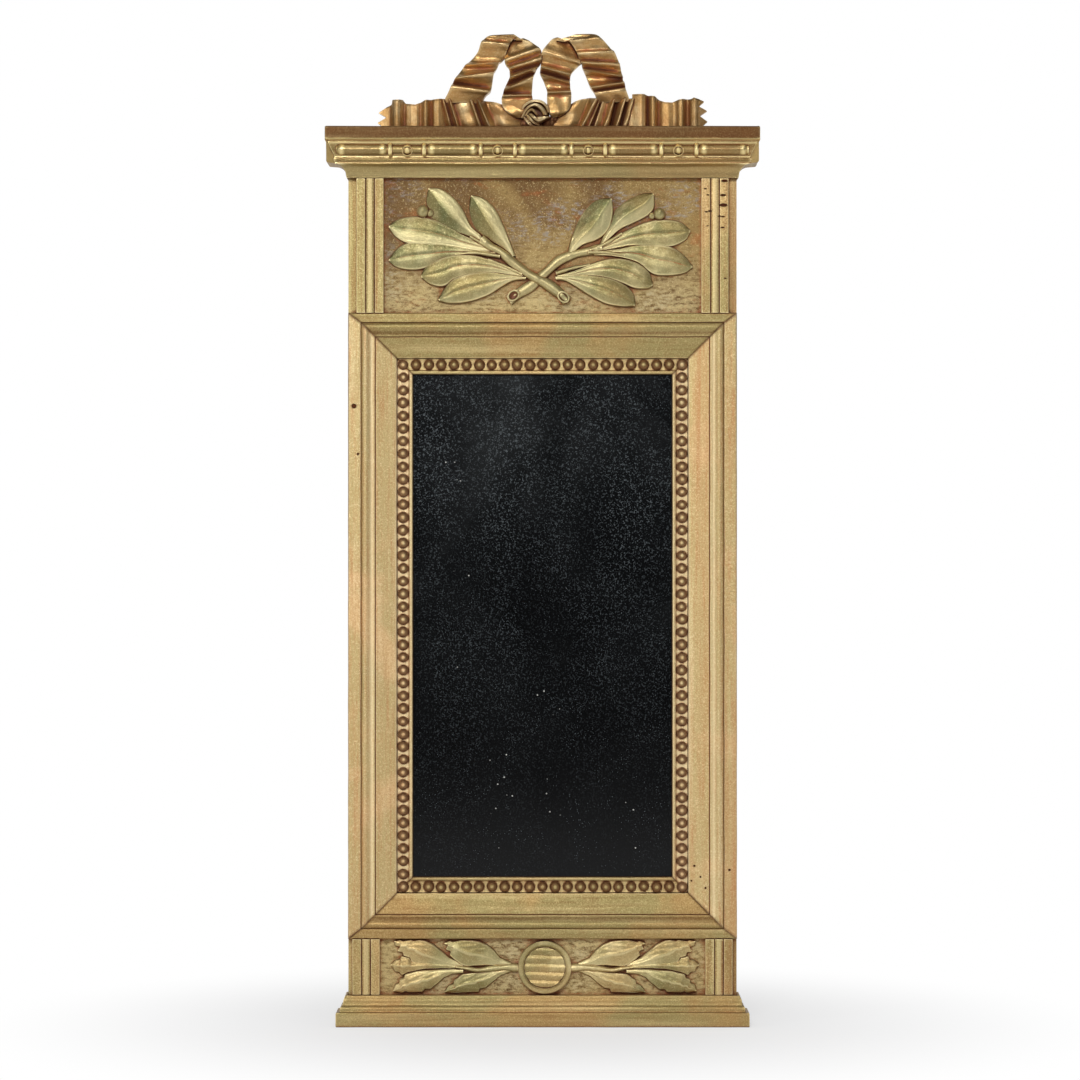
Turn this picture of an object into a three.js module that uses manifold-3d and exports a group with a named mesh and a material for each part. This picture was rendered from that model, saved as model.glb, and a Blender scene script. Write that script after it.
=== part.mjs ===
// A carved and gilded wooden pier mirror: a joined pine carcass that carries a dark old glass in
// a mitred moulding with a beaded slip, a frieze with crossed laurel branches, a base panel with
// two leaf sprays and a ribbed medallion, a cornice with bead and reel, and a ribbon bow on top.
// Millimetres. X runs to the right, Y into the wall and Z up, so the front looks along -Y.
// "depth" is always the distance in front of the carcass back, which is Y = -depth.
import * as THREE from "three";
import { mergeVertices } from "three/addons/utils/BufferGeometryUtils.js";
import Module from "manifold-3d";

const wasm = await Module();
wasm.setup();

// ---------------------------------------------------------------- driving dimensions
const GAP = 0.3; // glue line or play between two touching pieces

// the glass opening and the frame members round it
const SIGHT_WIDTH = 259;
const SIGHT_HEIGHT = 502.5;
const SLIP_WIDTH = 16; // beaded slip, from the glass opening outwards
const SLIP_FILLET = 3.9; // its raised fillet beside the glass
const FLAT_WIDTH = 21.5; // wide sloping flat
const OGEE_WIDTH = 14.5; // ogee with a groove on each side
const SIDE_BAND = 13; // plain outer band of the side members
const TOP_BAND = 9.5;
const BOTTOM_BAND = 10;

// heights of the stages, from the plinth upwards
const PLINTH_HEIGHT = 31;
const BASE_HEIGHT = 56;
const FRIEZE_HEIGHT = 135;
const CORNICE_HEIGHT = 50;

// depths in front of the carcass back
const CARCASS_DEPTH = 22;
const PILASTER_THICKNESS = 7;
const BAND_THICKNESS = 8;
const OGEE_THICKNESS = 12;
const SLIP_GROUND = 3; // thickness of the slip under its beads
const SLIP_LIP = 5;

// carcass joinery
const GLASS_COVER = 6.5; // how far the slip overlaps the glass
const STILE_PLAY = 1.5; // room between the glass edge and the carcass
const REBATE = 12; // width of the rebate behind for the backboards
const REBATE_DEPTH = 9;
const PANEL_THICKNESS = 8;
const PANEL_LAP = 5; // how far a panel runs under the pieces round it
const RAIL_HEIGHT = 60;
const TOP_RAIL_HEIGHT = 52;
const BOTTOM_RAIL_HEIGHT = 38;
const TENON_LENGTH = 32;
const TENON_THICKNESS = 6;
const TENON_SHOULDER = 8;

const GLASS_THICKNESS = 3;
const BACKBOARD_THICKNESS = 8;
const NAIL_HEAD_RADIUS = 3;
const NAIL_RADIUS = 1.1;
const NAIL_LENGTH = 16;
const BLOCK_LENGTH = 40; // glazing and crest glue blocks
const BLOCK_SIZE = 9;

// pilasters of the frieze and the base
const PILASTER_WIDTH = 27;
const FRIEZE_SETBACK = 8.5; // strip of carcass left showing outside a pilaster
const BASE_SETBACK = 4.5;
const RIDGE_WIDTH = 8;
const GROOVE_WIDTH = 1.2;
const GROOVE_DEPTH = 3;

// beading
const BEAD_RADIUS = 4.75;
const BEAD_PITCH = 12.6;
const BEAD_SIDES = 7;

// cornice and plinth
const CORNICE_PROJECTION = 22;
const FASCIA_HEIGHT = 13.5;
const COVE_RADIUS = 11;
const REEL_PERIOD = 90; // one barrel, its reels and a pearl
const BARREL_LENGTH = 51;
const BARREL_RADIUS = 5.6;
const NECK_RADIUS = 4.2; // the turned strip between the barrels
const REEL_RADIUS = 6.3;
const REEL_THICKNESS = 2.4;
const REEL_SPACING = 2.2; // from the end of a barrel to the middle of its reel
const PEARL_RADIUS = 5.3;
const STRIP_HEIGHT = 13; // the sloping strip that carries the bead and reel
const STRIP_SLOPE = 6.5; // how far it falls back
const TOP_BOARD_THICKNESS = 5;
const PLINTH_PROJECTION = 12;
const PLINTH_FASCIA = 14.5;

// carvings
const CREST_BACK = 12; // depth of the flat back of the ribbon carving
const UPPER_STEM = 9.5; // height of the two laurel stems where they cross
const LOWER_STEM = 5;
const MEDALLION_RADIUS = 26.8;
const MEDALLION_THICKNESS = 7;
const MEDALLION_RIM = 6;
const MEDALLION_SIDES = 24;

// ring hangers
const HANGER_DROP = 92.7; // from the carcass top down to the hinge axis
const HANGER_INSET = 24; // from the carcass side to the middle of the strap
const STRAP_WIDTH = 16;
const STRAP_LENGTH = 48;
const STRAP_THICKNESS = 1.5;
const WIRE_RADIUS = 1.5;
const RING_WIDTH = 18; // between the middles of the ring's legs
const KNUCKLE_WIDTH = 12;
const SCREW_RADIUS = 1.6;
const SCREW_HEAD_RADIUS = 3.4;
const SCREW_HEAD_HEIGHT = 1.4;
const SCREW_LENGTH = 16;
const PIN_SIDES = 6; // facets of nails and screws
const WIRE_SIDES = 8;

// ---------------------------------------------------------------- sizes that follow
const INNER_WIDTH = SLIP_WIDTH + FLAT_WIDTH + OGEE_WIDTH;
const sightHalf = SIGHT_WIDTH / 2;
const bodyHalf = sightHalf + INNER_WIDTH + SIDE_BAND;
const frameBottom = PLINTH_HEIGHT + BASE_HEIGHT;
const sightBottom = frameBottom + BOTTOM_BAND + INNER_WIDTH;
const sightTop = sightBottom + SIGHT_HEIGHT;
const frameTop = sightTop + INNER_WIDTH + TOP_BAND;
const corniceBottom = frameTop + FRIEZE_HEIGHT;
const corniceTop = corniceBottom + CORNICE_HEIGHT;
const carcassTop = corniceTop - TOP_BOARD_THICKNESS - GAP;

const frontPlane = CARCASS_DEPTH + GAP; // where the applied pieces begin
const pilasterFront = frontPlane + PILASTER_THICKNESS;
const glassHalf = sightHalf + GLASS_COVER;
const glassBottom = sightBottom - GLASS_COVER;
const glassTop = sightTop + GLASS_COVER;
const openingHalf = glassHalf + STILE_PLAY;
const openingBottom = glassBottom - STILE_PLAY;
const openingTop = glassTop + STILE_PLAY;
const friezeHalf = bodyHalf - FRIEZE_SETBACK - PILASTER_WIDTH; // field between the pilasters
const baseHalf = bodyHalf - BASE_SETBACK - PILASTER_WIDTH;
const panelBack = CARCASS_DEPTH - PANEL_THICKNESS;
const tenonBack = (panelBack - TENON_THICKNESS) / 2; // in the middle of the wood behind the panels
const hangerHeight = carcassTop - HANGER_DROP;

// ---------------------------------------------------------------- geometry helpers
const at = (x, depth, z) => new THREE.Vector3(x, -depth, z);

// A closed mesh from corner points and triangles, turned so that its faces point out.
function closedMesh(points, faces) {
  let volume = 0;
  for (const [a, b, c] of faces) volume += points[a].dot(points[b].clone().cross(points[c]));
  const outward = volume < 0 ? faces.map(([a, b, c]) => [a, c, b]) : faces;
  const geometry = new THREE.BufferGeometry().setFromPoints(points);
  geometry.setIndex(outward.flat());
  return geometry;
}

// Triangles that fill a flat outline, all turning the same way as the outline does.
function filled(outline) {
  const contour = outline.map(([a, b]) => new THREE.Vector2(a, b));
  const turn = Math.sign(THREE.ShapeUtils.area(contour));
  return THREE.ShapeUtils.triangulateShape(contour, []).map(([a, b, c]) => {
    const corner = [contour[a], contour[b], contour[c]];
    return Math.sign(THREE.ShapeUtils.area(corner)) === turn ? [a, b, c] : [a, c, b];
  });
}

// A moulded bar: each corner (a, b) of its section runs from start(a) to end(a), so that its
// ends can be square or mitred, and place(a, b, s) puts the corner in space.
function bar(section, start, end, place) {
  const n = section.length;
  const points = [start, end].flatMap((stop) => section.map(([a, b]) => place(a, b, stop(a))));
  const faces = filled(section).flatMap(([a, b, c]) => [[c, b, a], [n + a, n + b, n + c]]);
  for (let i = 0; i < n; i++) {
    const j = (i + 1) % n;
    faces.push([i, j, n + j], [i, n + j, n + i]);
  }
  return closedMesh(points, faces);
}

// A carved relief with a flat back: front[i][j] is a grid of points on its carved side, and
// behind each row i the back has one point below each of the row's two ends.
function relief(front, backDepth) {
  const rows = front.length;
  const columns = front[0].length;
  const last = columns - 1;
  const points = front.flat();
  const index = (i, j) => i * columns + j;
  const behind = points.length;
  for (const row of front) {
    for (const end of [row[0], row[last]]) points.push(at(end.x, backDepth, end.z));
  }
  const near = (i) => behind + 2 * i;
  const far = (i) => behind + 2 * i + 1;
  const faces = [];
  const quad = (a, b, c, d) => faces.push([a, b, c], [a, c, d]);
  for (let i = 0; i + 1 < rows; i++) {
    for (let j = 0; j < last; j++) {
      quad(index(i, j), index(i + 1, j), index(i + 1, j + 1), index(i, j + 1));
    }
    quad(near(i), far(i), far(i + 1), near(i + 1));
    quad(near(i), near(i + 1), index(i + 1, 0), index(i, 0));
    quad(index(i, last), index(i + 1, last), far(i + 1), far(i));
  }
  for (let j = 0; j < last; j++) {
    faces.push([near(0), index(0, j), index(0, j + 1)]);
    faces.push([near(rows - 1), index(rows - 1, j + 1), index(rows - 1, j)]);
  }
  faces.push([near(0), index(0, last), far(0)], [near(rows - 1), far(rows - 1), index(rows - 1, last)]);
  return closedMesh(points, faces);
}

const box = (x0, x1, depth0, depth1, z0, z1) =>
  new THREE.BoxGeometry(x1 - x0, depth1 - depth0, z1 - z0).translate(
    (x0 + x1) / 2,
    -(depth0 + depth1) / 2,
    (z0 + z1) / 2,
  );

// A flat outline in (x, z), as thick as the two depths say.
const plate = (outline, depth0, depth1) =>
  bar(outline, () => depth0, () => depth1, (x, z, depth) => at(x, depth, z));

// A turned piece about an axis that runs straight out of the back; its profile is (radius, depth).
const turned = (profile, sides) =>
  new THREE.LatheGeometry(profile.map(([r, depth]) => new THREE.Vector2(r, depth)), sides)
    .rotateX(Math.PI);

function solid(geometry) {
  const bare = geometry.clone();
  bare.deleteAttribute("normal");
  bare.deleteAttribute("uv");
  const merged = mergeVertices(bare, 1e-3);
  const corners = merged.index.array;
  const triVerts = [];
  for (let i = 0; i < corners.length; i += 3) {
    const [a, b, c] = corners.subarray(i, i + 3);
    if (a !== b && b !== c && c !== a) triVerts.push(a, b, c);
  }
  return new wasm.Manifold(
    new wasm.Mesh({
      numProp: 3,
      vertProperties: merged.attributes.position.array,
      triVerts: new Uint32Array(triVerts),
    }),
  );
}

function meshOf(manifold) {
  const { vertProperties, triVerts } = manifold.getMesh();
  const geometry = new THREE.BufferGeometry();
  geometry.setAttribute("position", new THREE.BufferAttribute(vertProperties, 3));
  geometry.setIndex(new THREE.BufferAttribute(triVerts, 1));
  return geometry;
}

const join = (...pieces) => meshOf(pieces.map(solid).reduce((all, piece) => all.add(piece)));
const cut = (piece, ...tools) =>
  meshOf(tools.map(solid).reduce((rest, tool) => rest.subtract(tool), solid(piece)));
const common = (piece, tool) => meshOf(solid(piece).intersect(solid(tool)));

// Points of an arc about (a, b) from one angle to another, in degrees.
function arc(a, b, radius, from, to, steps) {
  return Array.from({ length: steps + 1 }, (_, i) => {
    const angle = THREE.MathUtils.degToRad(from + ((to - from) * i) / steps);
    return [a + radius * Math.cos(angle), b + radius * Math.sin(angle)];
  });
}

// ---------------------------------------------------------------- finishes
const finish = (color, roughness, metalness) =>
  new THREE.MeshStandardMaterial({ color, roughness, metalness });
const gilding = finish(0x9a8650, 0.45, 0.6);
const wornGilding = finish(0x8c7346, 0.6, 0.4);
const barePine = finish(0x8a6b48, 0.85, 0);
const oldMirror = finish(0x101114, 0.08, 0.9);
const iron = finish(0x4a4642, 0.6, 0.8);

const mirror = new THREE.Group();
mirror.position.z = -hangerHeight;

function add(name, geometry, material, parent = mirror) {
  const mesh = new THREE.Mesh(geometry, material);
  mesh.name = name;
  parent.add(mesh);
  return mesh;
}
const sides = [["left", -1], ["right", 1]];

// ---------------------------------------------------------------- carcass
// Each rail has a tenon at both ends, and the stiles have the mortises. The two panels lie in
// rebates in the front, and the backboards in one behind the glass.
const rails = [
  { name: "top_rail", bottom: carcassTop - TOP_RAIL_HEIGHT, top: carcassTop },
  { name: "frieze_rail", bottom: openingTop, top: openingTop + RAIL_HEIGHT },
  { name: "lower_rail", bottom: openingBottom - RAIL_HEIGHT, top: openingBottom },
  { name: "bottom_rail", bottom: 0, top: BOTTOM_RAIL_HEIGHT },
];
const panels = [
  { name: "frieze_panel", half: friezeHalf, bottom: frameTop, top: corniceBottom },
  { name: "base_panel", half: baseHalf, bottom: PLINTH_HEIGHT, top: frameBottom },
];

function panelBox({ half, bottom, top }, clearance) {
  const lap = PANEL_LAP + clearance;
  return box(-half - lap, half + lap, panelBack - clearance, CARCASS_DEPTH + clearance,
    bottom - lap, top + lap);
}

function tenonBox({ bottom, top }, clearance) {
  const reach = openingHalf + TENON_LENGTH + clearance;
  return box(-reach, reach, tenonBack - clearance, tenonBack + TENON_THICKNESS + clearance,
    bottom + TENON_SHOULDER - clearance, top - TENON_SHOULDER + clearance);
}

const boardRebate = () =>
  box(-openingHalf - REBATE, openingHalf + REBATE, -1, REBATE_DEPTH,
    openingBottom - REBATE, openingTop + REBATE);

function addCarcass() {
  const rebates = [...panels.map((panel) => panelBox(panel, GAP)), boardRebate()];
  for (const rail of rails) {
    const body = box(-openingHalf + GAP, openingHalf - GAP, 0, CARCASS_DEPTH, rail.bottom, rail.top);
    add(rail.name, cut(join(body, tenonBox(rail, 0)), ...rebates), barePine);
  }
  for (const [name, side] of sides) {
    const [x0, x1] = side < 0 ? [-bodyHalf, -openingHalf] : [openingHalf, bodyHalf];
    const body = box(x0, x1, 0, CARCASS_DEPTH, 0, carcassTop);
    const mortises = rails.map((rail) => tenonBox(rail, GAP));
    const holes = [...screwPlaces(side), ...nailPlaces(side)].map((place) => place.hole);
    add(`stile_${name}`, cut(body, ...mortises, ...rebates, ...holes), gilding);
  }
  for (const panel of panels) add(panel.name, panelBox(panel, 0), wornGilding);
}

// ---------------------------------------------------------------- nails, screws and hangers
// Nails and screws are turned pieces that go in from behind; a hole is the same shape, larger.
const pin = (x, z, profile) => turned(profile, PIN_SIDES).translate(x, 0, z);

function nailPlaces(side) {
  const x = side * (openingHalf + REBATE / 2);
  return [0.22, 0.78].map((share) => {
    const z = openingBottom + share * (openingTop - openingBottom);
    const head = -1; // the head stands 1 mm proud of the boards
    const nail = [[0, head], [NAIL_HEAD_RADIUS, head], [NAIL_HEAD_RADIUS, 0],
      [NAIL_RADIUS, 0], [NAIL_RADIUS, NAIL_LENGTH], [0, NAIL_LENGTH]];
    const bore = NAIL_RADIUS + GAP;
    const depth = NAIL_LENGTH + GAP;
    const hole = [[0, -1], [bore, -1], [bore, depth], [0, depth]];
    return { nail: pin(x, z, nail), hole: pin(x, z, hole) };
  });
}

function screwPlaces(side) {
  const x = side * (bodyHalf - HANGER_INSET);
  const outside = -(GAP + STRAP_THICKNESS);
  return [0.45, 0.85].map((share) => {
    const z = hangerHeight - share * STRAP_LENGTH;
    const shape = (play, top) => [[0, top], [SCREW_HEAD_RADIUS + play, top],
      [SCREW_HEAD_RADIUS + play, outside + 0.2], [SCREW_RADIUS + play, outside + SCREW_HEAD_HEIGHT],
      [SCREW_RADIUS + play, SCREW_LENGTH + play], [0, SCREW_LENGTH + play]];
    return { screw: pin(x, z, shape(0, outside)), hole: pin(x, z, shape(GAP, outside - 1)) };
  });
}

// The strap is rolled round the ring's straight bar, which is the hinge pin.
const barDepth = -(GAP + STRAP_THICKNESS + GAP + WIRE_RADIUS);
const knuckleInner = WIRE_RADIUS + GAP;
const knuckleOuter = knuckleInner + STRAP_THICKNESS;

function strapGeometry(side) {
  const x = side * (bodyHalf - HANGER_INSET);
  const half = STRAP_WIDTH / 2;
  const tongue = KNUCKLE_WIDTH / 2;
  const foot = STRAP_LENGTH - half;
  const neck = 6; // length of the narrow part below the roll
  const shoulder = 10;
  const outline = [[tongue, 0], [tongue, -neck], [half, -shoulder],
    ...arc(0, -foot, half, 0, -180, 8), [-half, -shoulder], [-tongue, -neck], [-tongue, 0]];
  const leaf = plate(outline, -(GAP + STRAP_THICKNESS), -GAP);
  const roll = [...arc(barDepth, 0, knuckleOuter, 0, 235, 12),
    ...arc(barDepth, 0, knuckleInner, 235, 0, 10)];
  const knuckle = bar(roll, () => -tongue, () => tongue, (depth, z, s) => at(s, depth, z));
  const overlap = box(-tongue, tongue, -(GAP + STRAP_THICKNESS), -GAP, -1, 0.6);
  const strap = join(leaf, knuckle, overlap).translate(x, 0, hangerHeight);
  return cut(strap, ...screwPlaces(side).map((place) => place.hole));
}

// A ring of wire: the path is closed, and every step has a ring of points round it.
function wireLoop(path, radius, facets) {
  const n = path.length;
  const points = [];
  path.forEach(([x, z], i) => {
    const [px, pz] = path[(i + n - 1) % n];
    const [nx, nz] = path[(i + 1) % n];
    const along = new THREE.Vector2(nx - px, nz - pz).normalize();
    for (let k = 0; k < facets; k++) {
      const angle = (2 * Math.PI * (k + 0.5)) / facets;
      const out = radius * Math.cos(angle);
      points.push(at(x + along.y * out, radius * Math.sin(angle), z - along.x * out));
    }
  });
  const faces = [];
  for (let i = 0; i < n; i++) {
    for (let k = 0; k < facets; k++) {
      const a = i * facets + k;
      const b = i * facets + ((k + 1) % facets);
      const c = ((i + 1) % n) * facets + ((k + 1) % facets);
      const d = ((i + 1) % n) * facets + k;
      faces.push([a, b, c], [a, c, d]);
    }
  }
  return closedMesh(points, faces);
}

function ringGeometry() {
  const half = RING_WIDTH / 2;
  const corner = 2;
  const path = [...arc(half - corner, -corner, corner, 90, 0, 2),
    ...arc(0, -half, half, 0, -180, 10), ...arc(corner - half, -corner, corner, 180, 90, 2)];
  return wireLoop(path, WIRE_RADIUS, WIRE_SIDES);
}

function addHangers() {
  for (const [name, side] of sides) {
    const x = side * (bodyHalf - HANGER_INSET);
    add(`hanger_strap_${name}`, strapGeometry(side), iron);
    const ring = add(`hanger_ring_${name}`, ringGeometry(), iron);
    ring.position.set(x, -barDepth, hangerHeight);
    screwPlaces(side).forEach(({ screw }, i) => add(`hanger_screw_${name}_${i + 1}`, screw, iron));
  }
}

// ---------------------------------------------------------------- glass and backboards
function addGlass() {
  const front = CARCASS_DEPTH - GAP;
  const back = front - GLASS_THICKNESS;
  add("mirror_glass", box(-glassHalf, glassHalf, back, front, glassBottom, glassTop), oldMirror);

  const whole = [-openingHalf - REBATE + GAP, openingHalf + REBATE - GAP];
  const boardBack = REBATE_DEPTH - GAP - BACKBOARD_THICKNESS;
  for (const [name, side] of sides) {
    const [x0, x1] = side < 0 ? [whole[0], -GAP] : [GAP, whole[1]];
    const board = box(x0, x1, boardBack, REBATE_DEPTH - GAP,
      openingBottom - REBATE + GAP, openingTop + REBATE - GAP);
    const places = nailPlaces(side);
    add(`backboard_${name}`, cut(board, ...places.map((place) => place.hole)), barePine);
    places.forEach(({ nail }, i) => add(`backboard_nail_${name}_${i + 1}`, nail, iron));
  }

  // triangular glue blocks press the glass against the slip from the carcass edges
  const blockBack = REBATE_DEPTH + GAP;
  const blockFront = back - GAP;
  for (const [name, side] of sides) {
    for (const [level, share] of [["lower", 0.25], ["upper", 0.75]]) {
      const z = openingBottom + share * (openingTop - openingBottom);
      const edge = side * (openingHalf - GAP);
      const section = [[edge, blockBack], [edge, blockFront], [edge - side * BLOCK_SIZE, blockFront]];
      const length = [() => z - BLOCK_LENGTH / 2, () => z + BLOCK_LENGTH / 2];
      const block = bar(section, ...length, (x, depth, s) => at(x, depth, s));
      add(`glazing_block_${level}_${name}`, block, barePine);
    }
  }
}

// ---------------------------------------------------------------- mirror frame
// Sections are drawn as (distance from the glass opening, depth). Where two members meet, the
// outer band of a side member is wider than that of the top and bottom, so the mitre bends there.
const ogeeOuter = INNER_WIDTH;
const flatOuter = SLIP_WIDTH + FLAT_WIDTH;

function mouldingSection(band) {
  const base = frontPlane;
  const face = base + BAND_THICKNESS;
  const edge = INNER_WIDTH + band;
  const crest = base + OGEE_THICKNESS;
  return [
    [SLIP_WIDTH + GAP, base], [edge, base], [edge, face - 1], [edge - 1, face],
    [ogeeOuter + 0.8, face + 0.2], [ogeeOuter + 0.3, face - 1.8], [ogeeOuter - 0.3, face - 1.8],
    [ogeeOuter - 0.8, crest - 2.6], [ogeeOuter - 2.2, crest - 0.8], [ogeeOuter - 4, crest - 0.1],
    [ogeeOuter - 6, crest], [ogeeOuter - 7.8, crest - 0.9], [ogeeOuter - 9.4, crest - 2.7],
    [ogeeOuter - 10.8, crest - 3.8], [ogeeOuter - 12.2, crest - 3.1], [flatOuter + 1.2, crest - 3.5],
    [flatOuter + 0.7, face - 1.6], [flatOuter + 0.1, face - 1.6],
    [flatOuter - 0.3, face + 0.2], [SLIP_WIDTH + 1.2, face - 2.2], [SLIP_WIDTH + GAP, face - 3],
  ];
}

function slipSection() {
  const base = frontPlane;
  const lip = base + SLIP_LIP;
  const ground = base + SLIP_GROUND;
  return [[0, base], [SLIP_WIDTH - GAP, base], [SLIP_WIDTH - GAP, ground], [SLIP_FILLET, ground],
    [SLIP_FILLET - 0.4, lip - 0.3], [1.2, lip], [0, lip - 2.2]];
}

// Where a member ends: the place along it, for a corner of its section at a distance a.
const mitre = (half, ownBand, otherBand) => (a) =>
  half + (a <= INNER_WIDTH ? a : INNER_WIDTH + ((a - INNER_WIDTH) * otherBand) / ownBand) - GAP / 2;

const members = [
  { name: "top", own: TOP_BAND, place: (a, d, s) => at(s, d, sightTop + a) },
  { name: "bottom", own: BOTTOM_BAND, place: (a, d, s) => at(s, d, sightBottom - a) },
  { name: "left", own: SIDE_BAND, place: (a, d, s) => at(-sightHalf - a, d, s) },
  { name: "right", own: SIDE_BAND, place: (a, d, s) => at(sightHalf + a, d, s) },
];

function memberEnds({ name, own }) {
  if (name === "top" || name === "bottom") {
    const reach = mitre(sightHalf, own, SIDE_BAND);
    return [(a) => -reach(a), reach];
  }
  const middle = (sightTop + sightBottom) / 2;
  const down = mitre(SIGHT_HEIGHT / 2, own, BOTTOM_BAND);
  const up = mitre(SIGHT_HEIGHT / 2, own, TOP_BAND);
  return [(a) => middle - down(a), (a) => middle + up(a)];
}

// One bead is a low dome that grows out of the ground of the slip.
function bead() {
  const ground = frontPlane + SLIP_GROUND;
  const sunk = ground - 1;
  const shoulder = 0.62 * BEAD_RADIUS; // height at which the side turns into the top
  const narrow = Math.sqrt(BEAD_RADIUS ** 2 - shoulder ** 2);
  return turned([[0, sunk], [BEAD_RADIUS + 0.3, sunk], [narrow, ground + shoulder],
    [0, ground + BEAD_RADIUS]], BEAD_SIDES);
}

function beadedSlip(member) {
  const [start, end] = memberEnds(member);
  const strip = bar(slipSection(), start, end, member.place);
  const row = (SLIP_WIDTH + SLIP_FILLET) / 2;
  const first = start(row) - GAP / 2;
  const last = end(row) + GAP / 2;
  const count = Math.round((last - first) / BEAD_PITCH);
  const beads = Array.from({ length: count + 1 }, (_, i) => {
    const middle = member.place(row, 0, first + ((last - first) * i) / count);
    return bead().translate(middle.x, 0, middle.z);
  });
  const front = frontPlane + SLIP_GROUND + BEAD_RADIUS + 1;
  const limits = [[0, frontPlane], [SLIP_WIDTH - GAP, frontPlane], [SLIP_WIDTH - GAP, front],
    [0, front]];
  return common(join(strip, ...beads), bar(limits, start, end, member.place));
}

function addMirrorFrame() {
  for (const member of members) {
    const section = mouldingSection(member.own);
    const moulding = bar(section, ...memberEnds(member), member.place);
    add(`frame_moulding_${member.name}`, moulding, gilding);
    add(`beaded_slip_${member.name}`, beadedSlip(member), gilding);
  }
}

// ---------------------------------------------------------------- pilasters
function pilaster(side, inner, bottom, top) {
  const flat = (PILASTER_WIDTH - RIDGE_WIDTH) / 2 - GROOVE_WIDTH;
  const floor = pilasterFront - GROOVE_DEPTH;
  const left = [[0, pilasterFront], [flat, pilasterFront], [flat, floor], [flat + GROOVE_WIDTH, floor]];
  const right = left.map(([a, depth]) => [PILASTER_WIDTH - a, depth]).reverse();
  const half = RIDGE_WIDTH / 2 - 0.2;
  const ridge = arc(PILASTER_WIDTH / 2, floor + 0.4, half, 180, 0, 6);
  const section = [[0, frontPlane], ...left, ...ridge, ...right, [PILASTER_WIDTH, frontPlane]];
  return bar(section, () => bottom + GAP, () => top - GAP, (a, d, s) => at(side * (inner + a), d, s));
}

function addPilasters() {
  for (const [name, side] of sides) {
    add(`frieze_pilaster_${name}`, pilaster(side, friezeHalf, frameTop, corniceBottom), gilding);
    add(`base_pilaster_${name}`, pilaster(side, baseHalf, PLINTH_HEIGHT, frameBottom), gilding);
  }
}

// ---------------------------------------------------------------- cornice and plinth
// Sections are (projection in front of the pilasters or beside the carcass, height).
const fasciaBottom = corniceTop - FASCIA_HEIGHT;
const stripTop = fasciaBottom - 3;
const stripBottom = stripTop - STRIP_HEIGHT;
const coveTop = corniceBottom + 14;

const corniceCove = arc(13, corniceBottom + 2.5, COVE_RADIUS, 90, 180, 5);

function corniceFrontSection() {
  const p = CORNICE_PROJECTION;
  return [[-PILASTER_THICKNESS, corniceTop], [p - 1, corniceTop], [p, corniceTop - 1],
    [p, fasciaBottom + 0.6], [p - 0.6, fasciaBottom], [p - 2.5, fasciaBottom - 0.4], [p - 2.5, stripTop],
    [p - 2.5 - STRIP_SLOPE, stripBottom], [p - 8.6, stripBottom - 1.6], [p - 9, coveTop + 1.4],
    [p - 9, coveTop],
    ...corniceCove, [1.6, corniceBottom + 1], [1.6, corniceBottom + GAP],
    [-PILASTER_THICKNESS, corniceBottom + GAP]];
}

function corniceSideSection() {
  const p = CORNICE_PROJECTION;
  return [[GAP, corniceTop], [p - 1, corniceTop], [p, corniceTop - 1], [p, fasciaBottom - 1],
    [p - 1.2, fasciaBottom - 1.6], [p - 1.2, coveTop + 1], [p - 2.4, coveTop], ...corniceCove,
    [1.6, corniceBottom + 1], [1.6, corniceBottom + GAP], [GAP, corniceBottom + GAP]];
}

function plinthSection(back) {
  const p = PLINTH_PROJECTION;
  const step = PLINTH_FASCIA;
  return [[back, 0], [p, 0], [p, step - 0.6], [p - 0.6, step], [p - 4, step + 0.2],
    [p - 4, step + 3.6], [p - 4.6, step + 5.6], [p - 6.4, step + 6.6], [p - 6.6, step + 9],
    [p - 7.4, step + 12], [p - 9, PLINTH_HEIGHT - 1.6], [p - 9, PLINTH_HEIGHT - GAP],
    [back, PLINTH_HEIGHT - GAP]];
}

// A piece across the front with mitred ends, and one along each side that runs back to the wall.
const frontReach = (p) => bodyHalf + p - GAP / 2;
const acrossFront = (section) =>
  bar(section, (p) => -frontReach(p), frontReach, (p, z, s) => at(s, pilasterFront + p, z));
const alongSide = (section, side) =>
  bar(section, () => 0, (p) => pilasterFront + p - GAP / 2,
    (p, z, s) => at(side * (bodyHalf + p), s, z));

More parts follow.
